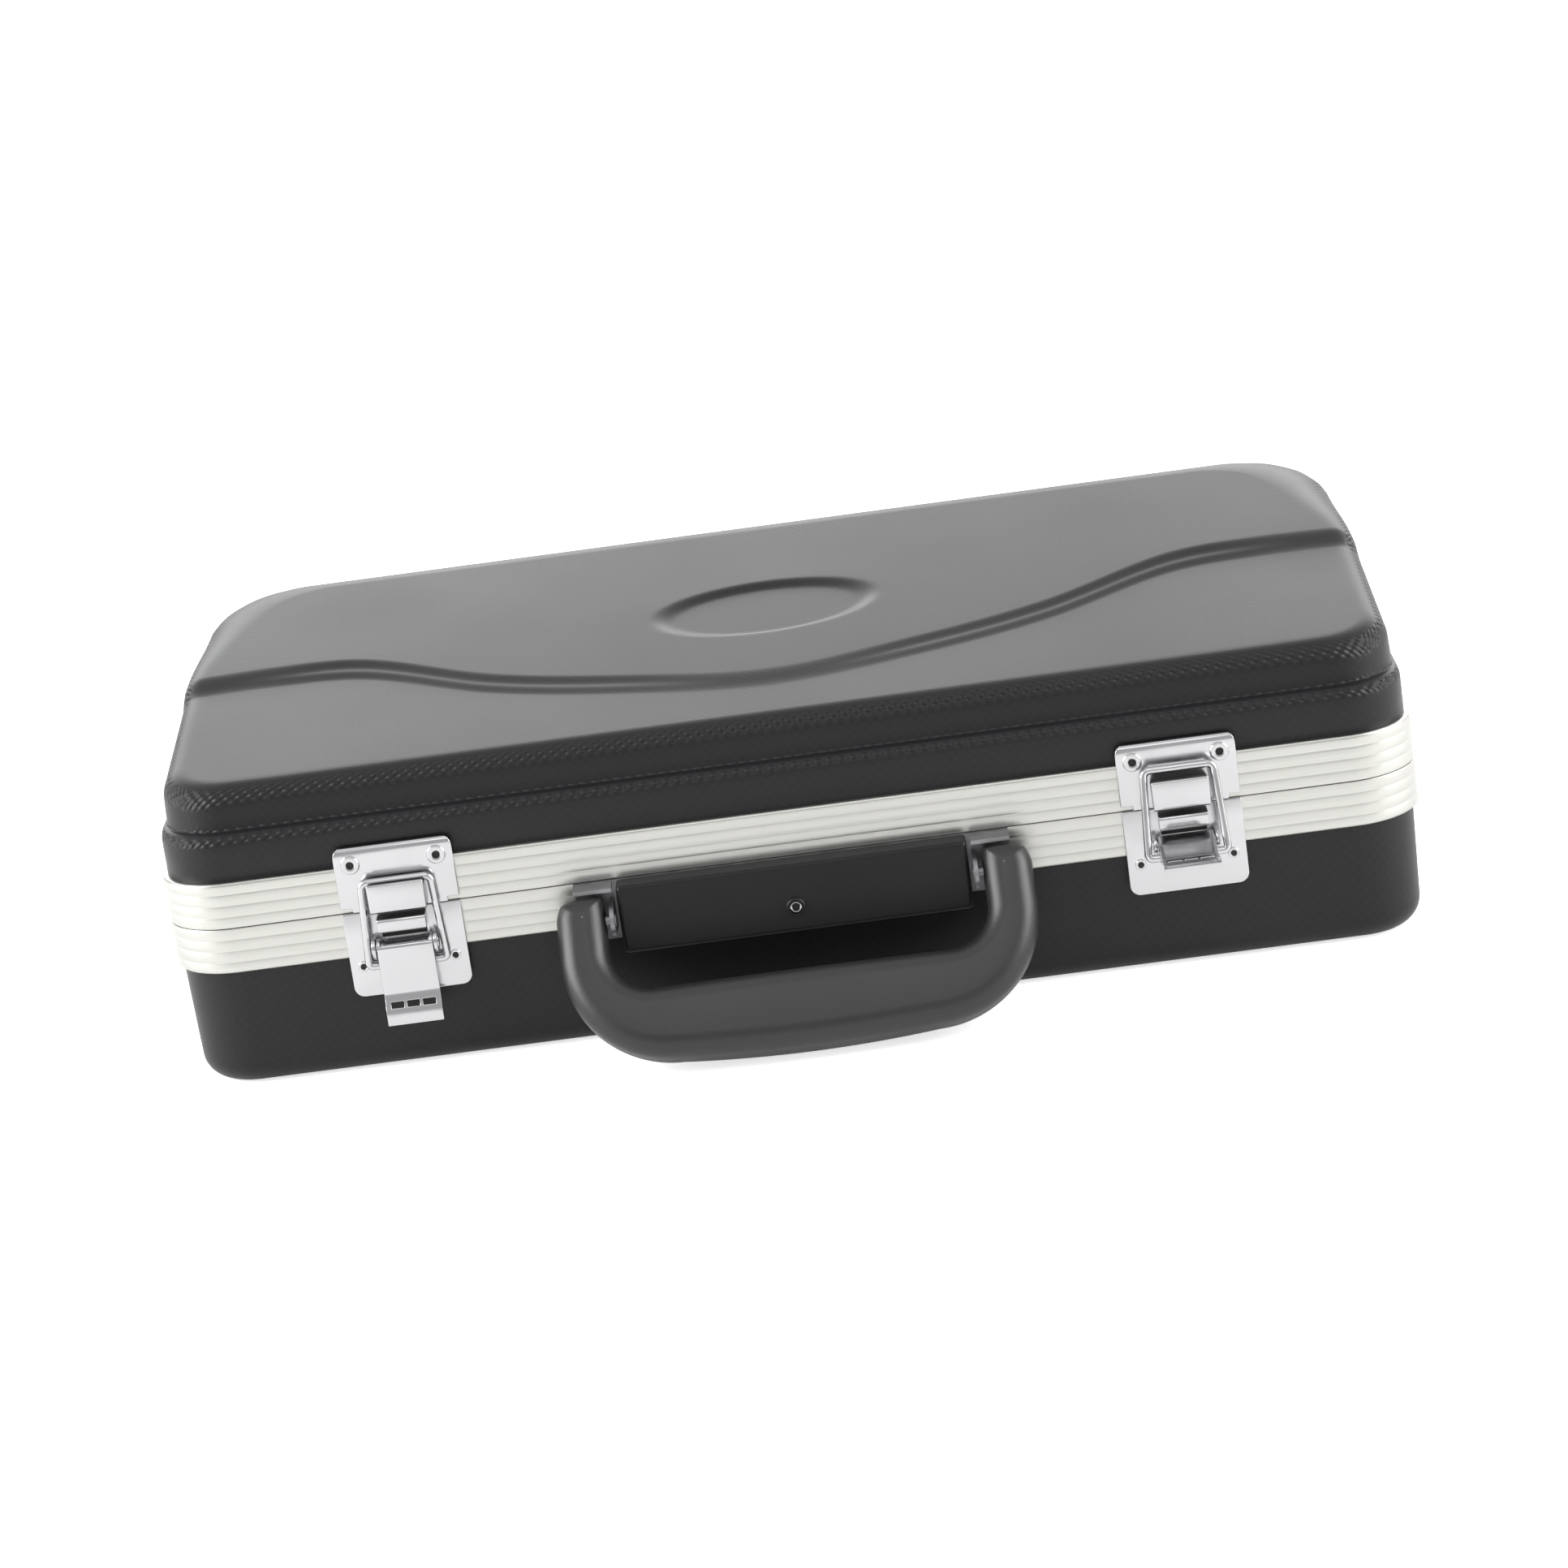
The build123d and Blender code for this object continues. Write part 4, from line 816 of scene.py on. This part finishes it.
bmesh.ops.recalc_face_normals(work, faces=work.faces)
if sum(face.normal.y * face.calc_area() for face in work.faces) > 0:
    bmesh.ops.reverse_faces(work, faces=work.faces)
bmesh.ops.solidify(work, geom=work.faces[:], thickness=COVER_WALL)
bracket_cover = linked_piece("bracket_cover", work, pp_cover)
bracket_cover.modifiers.new("flat_faces", "WEIGHTED_NORMAL").keep_sharp = True
stand_for(bracket_cover, "handle_cover", "base")

# A small bright screw holds the cover, sunk in a black moulded ring.
SCREW_Z = 36.4 * MM
SCREW_BRIGHT = (1.06 * MM, 1.72 * MM)
SCREW_SECTION = (
    (2.8, 0.0), (2.8, 0.35), (2.4, 0.75), (2.0, 0.75), (1.8, 0.25), (1.7, 0.25),
    (1.6, 0.55), (1.35, 0.65), (1.1, 0.55), (1.0, 0.15), (0.0, 0.15),
)
work = bmesh.new()
section = [(away * MM, out * MM) for away, out in SCREW_SECTION]
turned_on_front(work, section, (0, COVER_FACE_Y, SCREW_Z))
bmesh.ops.remove_doubles(work, verts=work.verts, dist=MERGE_WITHIN)
bmesh.ops.recalc_face_normals(work, faces=work.faces)
for face in work.faces:
    middle = face.calc_center_median()
    if SCREW_BRIGHT[0] < math.hypot(middle.x, middle.z - SCREW_Z) < SCREW_BRIGHT[1]:
        face.material_index = 1
cover_screw = linked_piece("cover_screw", work, pp_cover)
cover_screw.data.materials.append(chrome)
stand_for(cover_screw, "handle_screw", "base")

# ---------------------------------------------------------------- lid shell
# The lid is vacuum formed from the same ABS sheet: an upright rim, a rounded ledge, and a front panel
# that meets a higher rear panel in a wave. The wave has two soft steps with a flat terrace between.
RIM_INSET = 1.6 * MM
RIM_LOW = 50.4 * MM
LEDGE_HEIGHT = 76 * MM
LEDGE_ROUND = 3.6 * MM
LEDGE_FOOT = 0.8 * MM
STEP_FRONT = 4.5 * MM
STEP_END = 1.6 * MM
CREASE_HEIGHT = 88 * MM
CREASE_ROUND = 5.5 * MM
END_ROUND_FRONT = 6.5 * MM
END_ROUND_BACK = 19 * MM
PANEL_CORNER_FRONT = 14 * MM
PANEL_CORNER_BACK = 25 * MM
FRONT_SLOPE = 0.127
REAR_SLOPE = 0.145
REAR_LIFT = 1.3 * MM
WALL_DRAFT = math.tan(math.radians(1.5))
BACK_ROUND = 16 * MM
WAVE_POINTS = ((0, -43), (45, -34), (82, -21), (120, 1.8), (148, 5.4), (186, 4.3))
UPPER_STEP = (-4.0 * MM, 1.4 * MM)
LOWER_STEP = (-9.6 * MM, -4.6 * MM)
MERGED_STEP = (-9.6 * MM, 1.0 * MM)
LOWER_STEP_SHARE = 0.45
TERRACE_STARTS = (6 * MM, 50 * MM)
TERRACE_ENDS = (125 * MM, 165 * MM)
BAND_DEPTH = 9.6 * MM
BAND_MARGIN = 2.0 * MM
OVAL_LENGTH = 66 * MM
OVAL_WIDTH = 37 * MM
OVAL_DEPTH = 1.3 * MM
OVAL_LIP = 2.8 * MM
OVAL_LIP_OUTSIDE = 0.25
OVAL_Y = 3 * MM
LID_WALL = 2.4 * MM
WALL_OUT = 0.1 * MM
WALL_UP = 3 * MM
FOOT_STEPS = 3
ALL_SMOOTH = math.pi
GRID_COLUMNS = 204
FRONT_ROWS = 30
BAND_ROWS = 22
REAR_ROWS = 92
ROUND_STEPS = 8


def soft_share(value, low, high):
    """0 below low, 1 above high, and a soft S between."""
    share = min(max((value - low) / (high - low), 0.0), 1.0)
    return share * share * (3 - 2 * share)


def wave_slope(index):
    """The slope of the wave's line at one of its points, level in the trough and at the ends."""
    if index == 0 or index == len(WAVE_POINTS) - 1:
        return 0.0
    before, after = WAVE_POINTS[index - 1], WAVE_POINTS[index + 1]
    return (after[1] - before[1]) / (after[0] - before[0])


def wave_line(x):
    """Where the upper edge of the wave runs across the depth, at a place along the length."""
    away = abs(x) / MM
    index = max(i for i in range(len(WAVE_POINTS) - 1) if WAVE_POINTS[i][0] <= away)
    (x0, y0), (x1, y1) = WAVE_POINTS[index], WAVE_POINTS[index + 1]
    span = x1 - x0
    t = (away - x0) / span
    blend = (2 * t**3 - 3 * t**2 + 1) * y0 + (t**3 - 2 * t**2 + t) * span * wave_slope(index)
    blend += (3 * t**2 - 2 * t**3) * y1 + (t**3 - t**2) * span * wave_slope(index + 1)
    return blend * MM


def lid_height(x, y):
    """Height of the lid's skin at a place in plan, without its rounded outer edge."""
    front = CREASE_HEIGHT + FRONT_SLOPE * (y + CASE_DEPTH / 2 - RIM_INSET - STEP_FRONT)
    trough = WAVE_POINTS[0][1] * MM
    crest = CREASE_HEIGHT + FRONT_SLOPE * (trough + CASE_DEPTH / 2 - RIM_INSET - STEP_FRONT)
    rear = crest + REAR_LIFT + REAR_SLOPE * (y - trough)
    behind = y - wave_line(x)
    upper, lower, merged = [soft_share(behind, *step) for step in (UPPER_STEP, LOWER_STEP, MERGED_STEP)]
    terrace = soft_share(abs(x), *TERRACE_STARTS) * (1 - soft_share(abs(x), *TERRACE_ENDS))
    stepped = LOWER_STEP_SHARE * lower + (1 - LOWER_STEP_SHARE) * upper
    share = terrace * stepped + (1 - terrace) * merged
    height = front + (rear - front) * share
    away = math.hypot(x / (OVAL_LENGTH / 2), (y - OVAL_Y) / (OVAL_WIDTH / 2))
    lip = OVAL_LIP / (OVAL_WIDTH / 2)
    height -= OVAL_DEPTH * (1 - soft_share(away, 1 - lip, 1 + lip * OVAL_LIP_OUTSIDE))
    return height


# Places on the lid are also given on a square from -1 to 1. The end's rounding grows towards the back,
# the front's towards the corners, and the corners widen across the middle.
END_GROWS = (0.0, 0.9)
FRONT_GROWS = (0.8, 1.0)
CORNER_WIDENS = (-0.5, 0.5)


def panel_rounds(square):
    """How far the skin is rounded over beyond the panel: towards the end, the front and the back."""
    end = END_ROUND_FRONT + (END_ROUND_BACK - END_ROUND_FRONT) * soft_share(square[1], *END_GROWS)
    front = CREASE_ROUND + (END_ROUND_FRONT - CREASE_ROUND) * soft_share(abs(square[0]), *FRONT_GROWS)
    return end, front, BACK_ROUND


def rounded_place(square, insets, corner):
    """The plan place for a place on a square from -1 to 1, and how far it faces the end, from 0 to 1.

    The square's edge goes to the case's outline, drawn in by insets at the end, the front and the back.
    """
    half = (CASE_LENGTH / 2 - insets[0], CASE_DEPTH / 2 - insets[1 if square[1] < 0 else 2])
    over = [max(abs(part) * reach - reach + corner, 0.0) / corner for part, reach in zip(square, half)]
    pulled = (over[0] * math.sqrt(1 - over[1] ** 2 / 2), over[1] * math.sqrt(1 - over[0] ** 2 / 2))
    spot = [
        math.copysign(reach - corner + corner * part, side) if min(over) > 0 else side * reach
        for reach, part, side in zip(half, pulled, square)
    ]
    endward = pulled[0] ** 2 / max(pulled[0] ** 2 + pulled[1] ** 2, 1e-9)
    return spot[0], spot[1], endward


# Between the panel and the wall the skin is rounded over, more at the ends than along the front, and
# most at the back. Open is 1 at the panel's rim and 0 where the wall begins.
WALL_INSET = RIM_INSET + (CREASE_HEIGHT - LEDGE_HEIGHT) * WALL_DRAFT


def rounded_over(square, open_share):
    """The insets and the corner's radius on the way from the panel's rim to the wall."""
    end, front, back = [WALL_INSET + part * open_share for part in panel_rounds(square)]
    toward_back = soft_share(square[1], *CORNER_WIDENS)
    panel_corner = PANEL_CORNER_FRONT + (PANEL_CORNER_BACK - PANEL_CORNER_FRONT) * toward_back
    wall_corner = CORNER_RADIUS - WALL_INSET
    corner = wall_corner + (panel_corner - wall_corner) * open_share
    return (end + STEP_END, front + STEP_FRONT, back), corner


# The grid's rows gather along the wave, so that its steps follow their own edges.
work = bmesh.new()
bmesh.ops.create_grid(work, x_segments=GRID_COLUMNS, y_segments=FRONT_ROWS + BAND_ROWS + REAR_ROWS, size=1.0)
squares = {}
for vert in work.verts:
    row = (vert.co.y + 1) / 2 * (FRONT_ROWS + BAND_ROWS + REAR_ROWS)
    (end, front, back), _ = rounded_over((vert.co.x, 0.0), 1.0)
    middle = wave_line(vert.co.x * (CASE_LENGTH / 2 - end))
    band = [
        edge / (CASE_DEPTH / 2 - (front if edge < 0 else back))
        for edge in (middle - BAND_DEPTH - BAND_MARGIN, middle + BAND_MARGIN)
    ]
    if row < FRONT_ROWS:
        across = -1 + (band[0] + 1) * row / FRONT_ROWS
    elif row < FRONT_ROWS + BAND_ROWS:
        across = band[0] + (band[1] - band[0]) * (row - FRONT_ROWS) / BAND_ROWS
    else:
        across = band[1] + (1 - band[1]) * (row - FRONT_ROWS - BAND_ROWS) / REAR_ROWS
    squares[vert] = (vert.co.x, across)

for vert in work.verts:
    insets, corner = rounded_over(squares[vert], 1.0)
    x, y, _ = rounded_place(squares[vert], insets, corner)
    vert.co = (x, y, lid_height(x, y))

# From the panel's rim the skin is drawn down in rings: over the crease, down the upper wall, out over
# the ledge and down the rim that stands in the valance. A ring over the crease has its angle, and a
# ring below has its inset, its height, and how much of the ledge's step it keeps.
rings = [(math.pi / 2 * step / ROUND_STEPS, None) for step in range(1, ROUND_STEPS + 1)]
foot = LEDGE_HEIGHT + LEDGE_FOOT
rings.append((None, (RIM_INSET + WALL_OUT, foot + WALL_UP, 1.0)))
rings.append((None, (RIM_INSET, foot, 1.0)))
for step in range(1, FOOT_STEPS + 1):
    turn = math.pi / 2 * step / FOOT_STEPS
    kept = 1 - LEDGE_FOOT * (1 - math.cos(turn)) / STEP_FRONT
    rings.append((None, (RIM_INSET, foot - LEDGE_FOOT * math.sin(turn), kept)))
for step in range(ROUND_STEPS + 1):
    turn = math.pi / 2 * step / ROUND_STEPS
    kept = LEDGE_ROUND * (1 - math.sin(turn)) / STEP_FRONT
    rings.append((None, (RIM_INSET, LEDGE_HEIGHT - LEDGE_ROUND * (1 - math.cos(turn)), kept)))
rings.append((None, (RIM_INSET, RIM_LOW, 0.0)))

rim = [edge for edge in work.edges if edge.is_boundary]
for turn, below in rings:
    made = bmesh.ops.extrude_edge_only(work, edges=rim)["geom"]
    fresh = {item for item in made if isinstance(item, bmesh.types.BMVert)}
    rim = [item for item in made if isinstance(item, bmesh.types.BMEdge) and item.is_boundary]
    for vert in fresh:
        above = [edge.other_vert(vert) for edge in vert.link_edges if edge.other_vert(vert) not in fresh]
        squares[vert] = squares[above[0]]
        if below is None:
            insets, corner = rounded_over(squares[vert], 1 - math.sin(turn))
            x, y, endward = rounded_place(squares[vert], insets, corner)
            end, front, back = panel_rounds(squares[vert])
            sideward = front if squares[vert][1] < 0 else back
            drop = (end * endward + sideward * (1 - endward)) * (1 - math.cos(turn))
            vert.co = (x, y, lid_height(x, y) - drop)
        else:
            inset, height, kept = below
            insets = (inset + STEP_END * kept, inset + STEP_FRONT * kept, inset)
            x, y, _ = rounded_place(squares[vert], insets, CORNER_RADIUS - inset)
            vert.co = (x, y, height)
bmesh.ops.recalc_face_normals(work, faces=work.faces)
work.faces.ensure_lookup_table()
if sum(face.normal.z for face in work.faces) < 0:
    bmesh.ops.reverse_faces(work, faces=work.faces)
lid_skin = linked_piece("lid_skin", work, abs_shell, ALL_SMOOTH)
wall = lid_skin.modifiers.new("wall", "SOLIDIFY")
wall.thickness = LID_WALL
wall.offset = -1.0
stand_for(lid_skin, "lid_shell", "lid")

# ---------------------------------------------------------------- lining
# Six blocks of foam, each with a trough for one piece of the instrument, and a padded liner in the lid
# are covered in short black plush, which rounds over every edge. They are glued into the shells.

# Plush drinks light, with a faint sheen along the pile and patches brushed one way and the other. The
# nap is drawn coarser than life, so that it shows.
NAP_SIZE = 0.8 * MM
NAP_HEIGHT = 0.25 * MM
PATCH_SIZE = 26 * MM
plush, tree, shader = new_material("short_black_plush")
point = place(tree)
nap = add_node(tree, "ShaderNodeTexNoise", None, {"Vector": point, "Scale": 1 / NAP_SIZE, "Detail": 3.0})
brushed = add_node(tree, "ShaderNodeTexNoise", None, {"Vector": point, "Scale": 1 / PATCH_SIZE, "Detail": 2.0})
pile = add_node(
    tree, "ShaderNodeMath", {"operation": "MULTIPLY"}, {0: nap.outputs["Fac"], 1: brushed.outputs["Fac"]}
)
show_in_tone(tree, shader, pile.outputs[0], "#0c0c10", "#2b2b33")
show_in_relief(tree, shader, nap.outputs["Fac"], NAP_HEIGHT)
shader.inputs["Roughness"].default_value = 0.92
shader.inputs["Sheen Weight"].default_value = 0.5
shader.inputs["Sheen Roughness"].default_value = 0.45
shader.inputs["Sheen Tint"].default_value = colour("#5a5a66")

PLUSH_VOXEL = 2.0 * MM
PLUSH_EASING = 10
PLUSH_EASED_BY = 0.5


def plush_over(node, name, body):
    """A foam form under plush: the node's form, remeshed finely and eased until its edges are round."""
    work = bmesh.new()
    work.from_mesh(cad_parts[node].data)
    bmesh.ops.remove_doubles(work, verts=work.verts, dist=MERGE_WITHIN)
    form = linked_piece(name + "_form", work, plush)
    voxels = form.modifiers.new("voxels", "REMESH")
    voxels.mode = "VOXEL"
    voxels.voxel_size = PLUSH_VOXEL
    easing = form.modifiers.new("easing", "SMOOTH")
    easing.factor = PLUSH_EASED_BY
    easing.iterations = PLUSH_EASING
    mesh = bpy.data.meshes.new_from_object(form.evaluated_get(bpy.context.evaluated_depsgraph_get()))
    bpy.data.objects.remove(form)
    mesh.name = name
    for polygon in mesh.polygons:
        polygon.use_smooth = True
    piece = bpy.data.objects.new(name, mesh)
    bpy.context.scene.collection.objects.link(piece)
    stand_for(piece, node, body)


for block in ("lower_joint", "upper_joint", "mouthpiece", "barrel", "reeds", "bell"):
    plush_over("lining_" + block, block + "_bed", "base")
plush_over("lid_liner", "lid_padding", "lid")

# ---------------------------------------------------------------- floor and room
# The case stands on a painted white table, in a room with white walls that is darker behind the
# camera. The camera sees the white of the table and the walls, and metal mirrors less of the table.
FLOOR_SIZE = 6.0
FLOOR_WHITE = 0.7
FLOOR_MIRRORED = 0.35
white_table, tree, shader = new_material("white_table")
work = bmesh.new()
bmesh.ops.create_grid(work, x_segments=1, y_segments=1, size=FLOOR_SIZE)
linked_piece("floor", work, white_table)
shader.inputs["Base Color"].default_value = colour("#f4f4f3")
shader.inputs["Roughness"].default_value = 0.9
output = tree.nodes["Material Output"]
rays = add_node(tree, "ShaderNodeLightPath")
mirrored = add_node(
    tree,
    "ShaderNodeMath",
    {"operation": "MAXIMUM"},
    {0: rays.outputs["Is Glossy Ray"], 1: rays.outputs["Is Transmission Ray"]},
)
seen = add_node(
    tree, "ShaderNodeMath", {"operation": "MAXIMUM"}, {0: rays.outputs["Is Camera Ray"], 1: mirrored.outputs[0]}
)
whiteness = add_node(
    tree,
    "ShaderNodeMapRange",
    None,
    {"Value": mirrored.outputs[0], "To Min": FLOOR_WHITE, "To Max": FLOOR_MIRRORED},
)
white = add_node(
    tree, "ShaderNodeEmission", None, {"Color": colour("#ffffff"), "Strength": whiteness.outputs["Result"]}
)
both = add_node(tree, "ShaderNodeAddShader", None, {0: shader.outputs["BSDF"], 1: white.outputs["Emission"]})
shown = add_node(
    tree,
    "ShaderNodeMixShader",
    None,
    {0: seen.outputs[0], 1: shader.outputs["BSDF"], 2: both.outputs["Shader"]},
)
tree.links.new(shown.outputs["Shader"], output.inputs["Surface"])

ROOM_LEVEL = 0.3
DARK_LEVEL = 0.6
DARK_TOWARD_CAMERA = (-0.80, -0.35)
DARK_UP_TO = (0.45, 0.75)
world = bpy.data.worlds.new("white_room")
bpy.context.scene.world = world
world.use_nodes = True
tree = world.node_tree
background = tree.nodes["Background"]
rays = add_node(tree, "ShaderNodeLightPath")
heading = add_node(tree, "ShaderNodeSeparateXYZ", None, {0: place(tree)})
darker = []
for axis, (least, most) in (("Y", DARK_TOWARD_CAMERA), ("Z", DARK_UP_TO)):
    fading = add_node(
        tree,
        "ShaderNodeMapRange",
        {"interpolation_type": "SMOOTHSTEP"},
        {"Value": heading.outputs[axis], "From Min": least, "From Max": most, "To Min": 1.0, "To Max": 0.0},
    )
    darker.append(fading.outputs["Result"])
dark = add_node(tree, "ShaderNodeMath", {"operation": "MULTIPLY"}, {0: darker[0], 1: darker[1]})
room = add_node(
    tree,
    "ShaderNodeMapRange",
    None,
    {"Value": dark.outputs[0], "To Min": 1.0, "To Max": DARK_LEVEL},
)
lighting = add_node(
    tree,
    "ShaderNodeMapRange",
    None,
    {"Value": rays.outputs["Is Glossy Ray"], "To Min": ROOM_LEVEL, "To Max": room.outputs["Result"]},
)
direct = add_node(
    tree,
    "ShaderNodeMath",
    {"operation": "MAXIMUM"},
    {0: rays.outputs["Is Camera Ray"], 1: rays.outputs["Is Transmission Ray"]},
)
level = add_node(
    tree,
    "ShaderNodeMapRange",
    None,
    {"Value": direct.outputs[0], "To Min": lighting.outputs["Result"], "To Max": 1.0},
)
background.inputs["Color"].default_value = (1.0, 1.0, 1.0, 1.0)
tree.links.new(level.outputs["Result"], background.inputs["Strength"])


CASE_MIDDLE = Vector((0, 0, 60 * MM))


def area_lamp(name, position, size, power):
    """A soft rectangular lamp at a place, turned to face the case."""
    lamp = bpy.data.lights.new(name, "AREA")
    lamp.shape = "RECTANGLE"
    lamp.size = size[0]
    lamp.size_y = size[1]
    lamp.energy = power
    holder = bpy.data.objects.new(name, lamp)
    bpy.context.scene.collection.objects.link(holder)
    holder.location = position
    direction = CASE_MIDDLE - Vector(position)
    holder.rotation_euler = direction.to_track_quat("-Z", "Y").to_euler()


area_lamp("back_left_lamp", (-0.35, 1.05, 0.52), (1.0, 0.4), 4.6)
area_lamp("back_right_lamp", (0.55, 1.05, 0.52), (0.9, 0.4), 4.4)
area_lamp("back_high_lamp", (0, 1.0, 0.85), (1.2, 0.4), 0.8)
area_lamp("front_high_lamp", (0, -0.9, 1.1), (0.6, 0.3), 1.0)
area_lamp("left_lamp", (-1.05, -0.25, 0.55), (0.8, 0.8), 15)
area_lamp("right_lamp", (1.05, -0.25, 0.55), (0.8, 0.8), 13)

# ---------------------------------------------------------------- camera
# The camera stands low in front of the case, on a long lens, and is rolled, so that the case seems to
# rise to the right. All its values were fitted to the case's edges in the photograph.
VIEW_AZIMUTH = math.radians(1.96)
VIEW_ELEVATION = math.radians(16.37)
VIEW_ROLL = math.radians(-8.08)
VIEW_DISTANCE = 1348.6 * MM
VIEW_TARGET = Vector((0, 0, 55 * MM))
PHOTO_SIZE = 1932
FOCAL_PIXELS = 5539
SHIFT_PIXELS = (-1.72, -38.06)
SENSOR_WIDTH = 36.0

back = Vector(
    (
        math.sin(VIEW_AZIMUTH) * math.cos(VIEW_ELEVATION),
        -math.cos(VIEW_AZIMUTH) * math.cos(VIEW_ELEVATION),
        math.sin(VIEW_ELEVATION),
    )
)
level_right = Vector((math.cos(VIEW_AZIMUTH), math.sin(VIEW_AZIMUTH), 0))
level_up = back.cross(level_right)
right = math.cos(VIEW_ROLL) * level_right + math.sin(VIEW_ROLL) * level_up
up = -math.sin(VIEW_ROLL) * level_right + math.cos(VIEW_ROLL) * level_up
camera_data = bpy.data.cameras.new("camera")
camera_data.sensor_width = SENSOR_WIDTH
camera_data.lens = FOCAL_PIXELS / PHOTO_SIZE * SENSOR_WIDTH
camera_data.shift_x = SHIFT_PIXELS[0] / PHOTO_SIZE
camera_data.shift_y = SHIFT_PIXELS[1] / PHOTO_SIZE
camera = bpy.data.objects.new("camera", camera_data)
bpy.context.scene.collection.objects.link(camera)
turn = Matrix((right, up, back)).transposed()
camera.matrix_world = Matrix.Translation(VIEW_TARGET + VIEW_DISTANCE * back) @ turn.to_4x4()
bpy.context.scene.camera = camera

bpy.context.scene.view_settings.view_transform = "Standard"
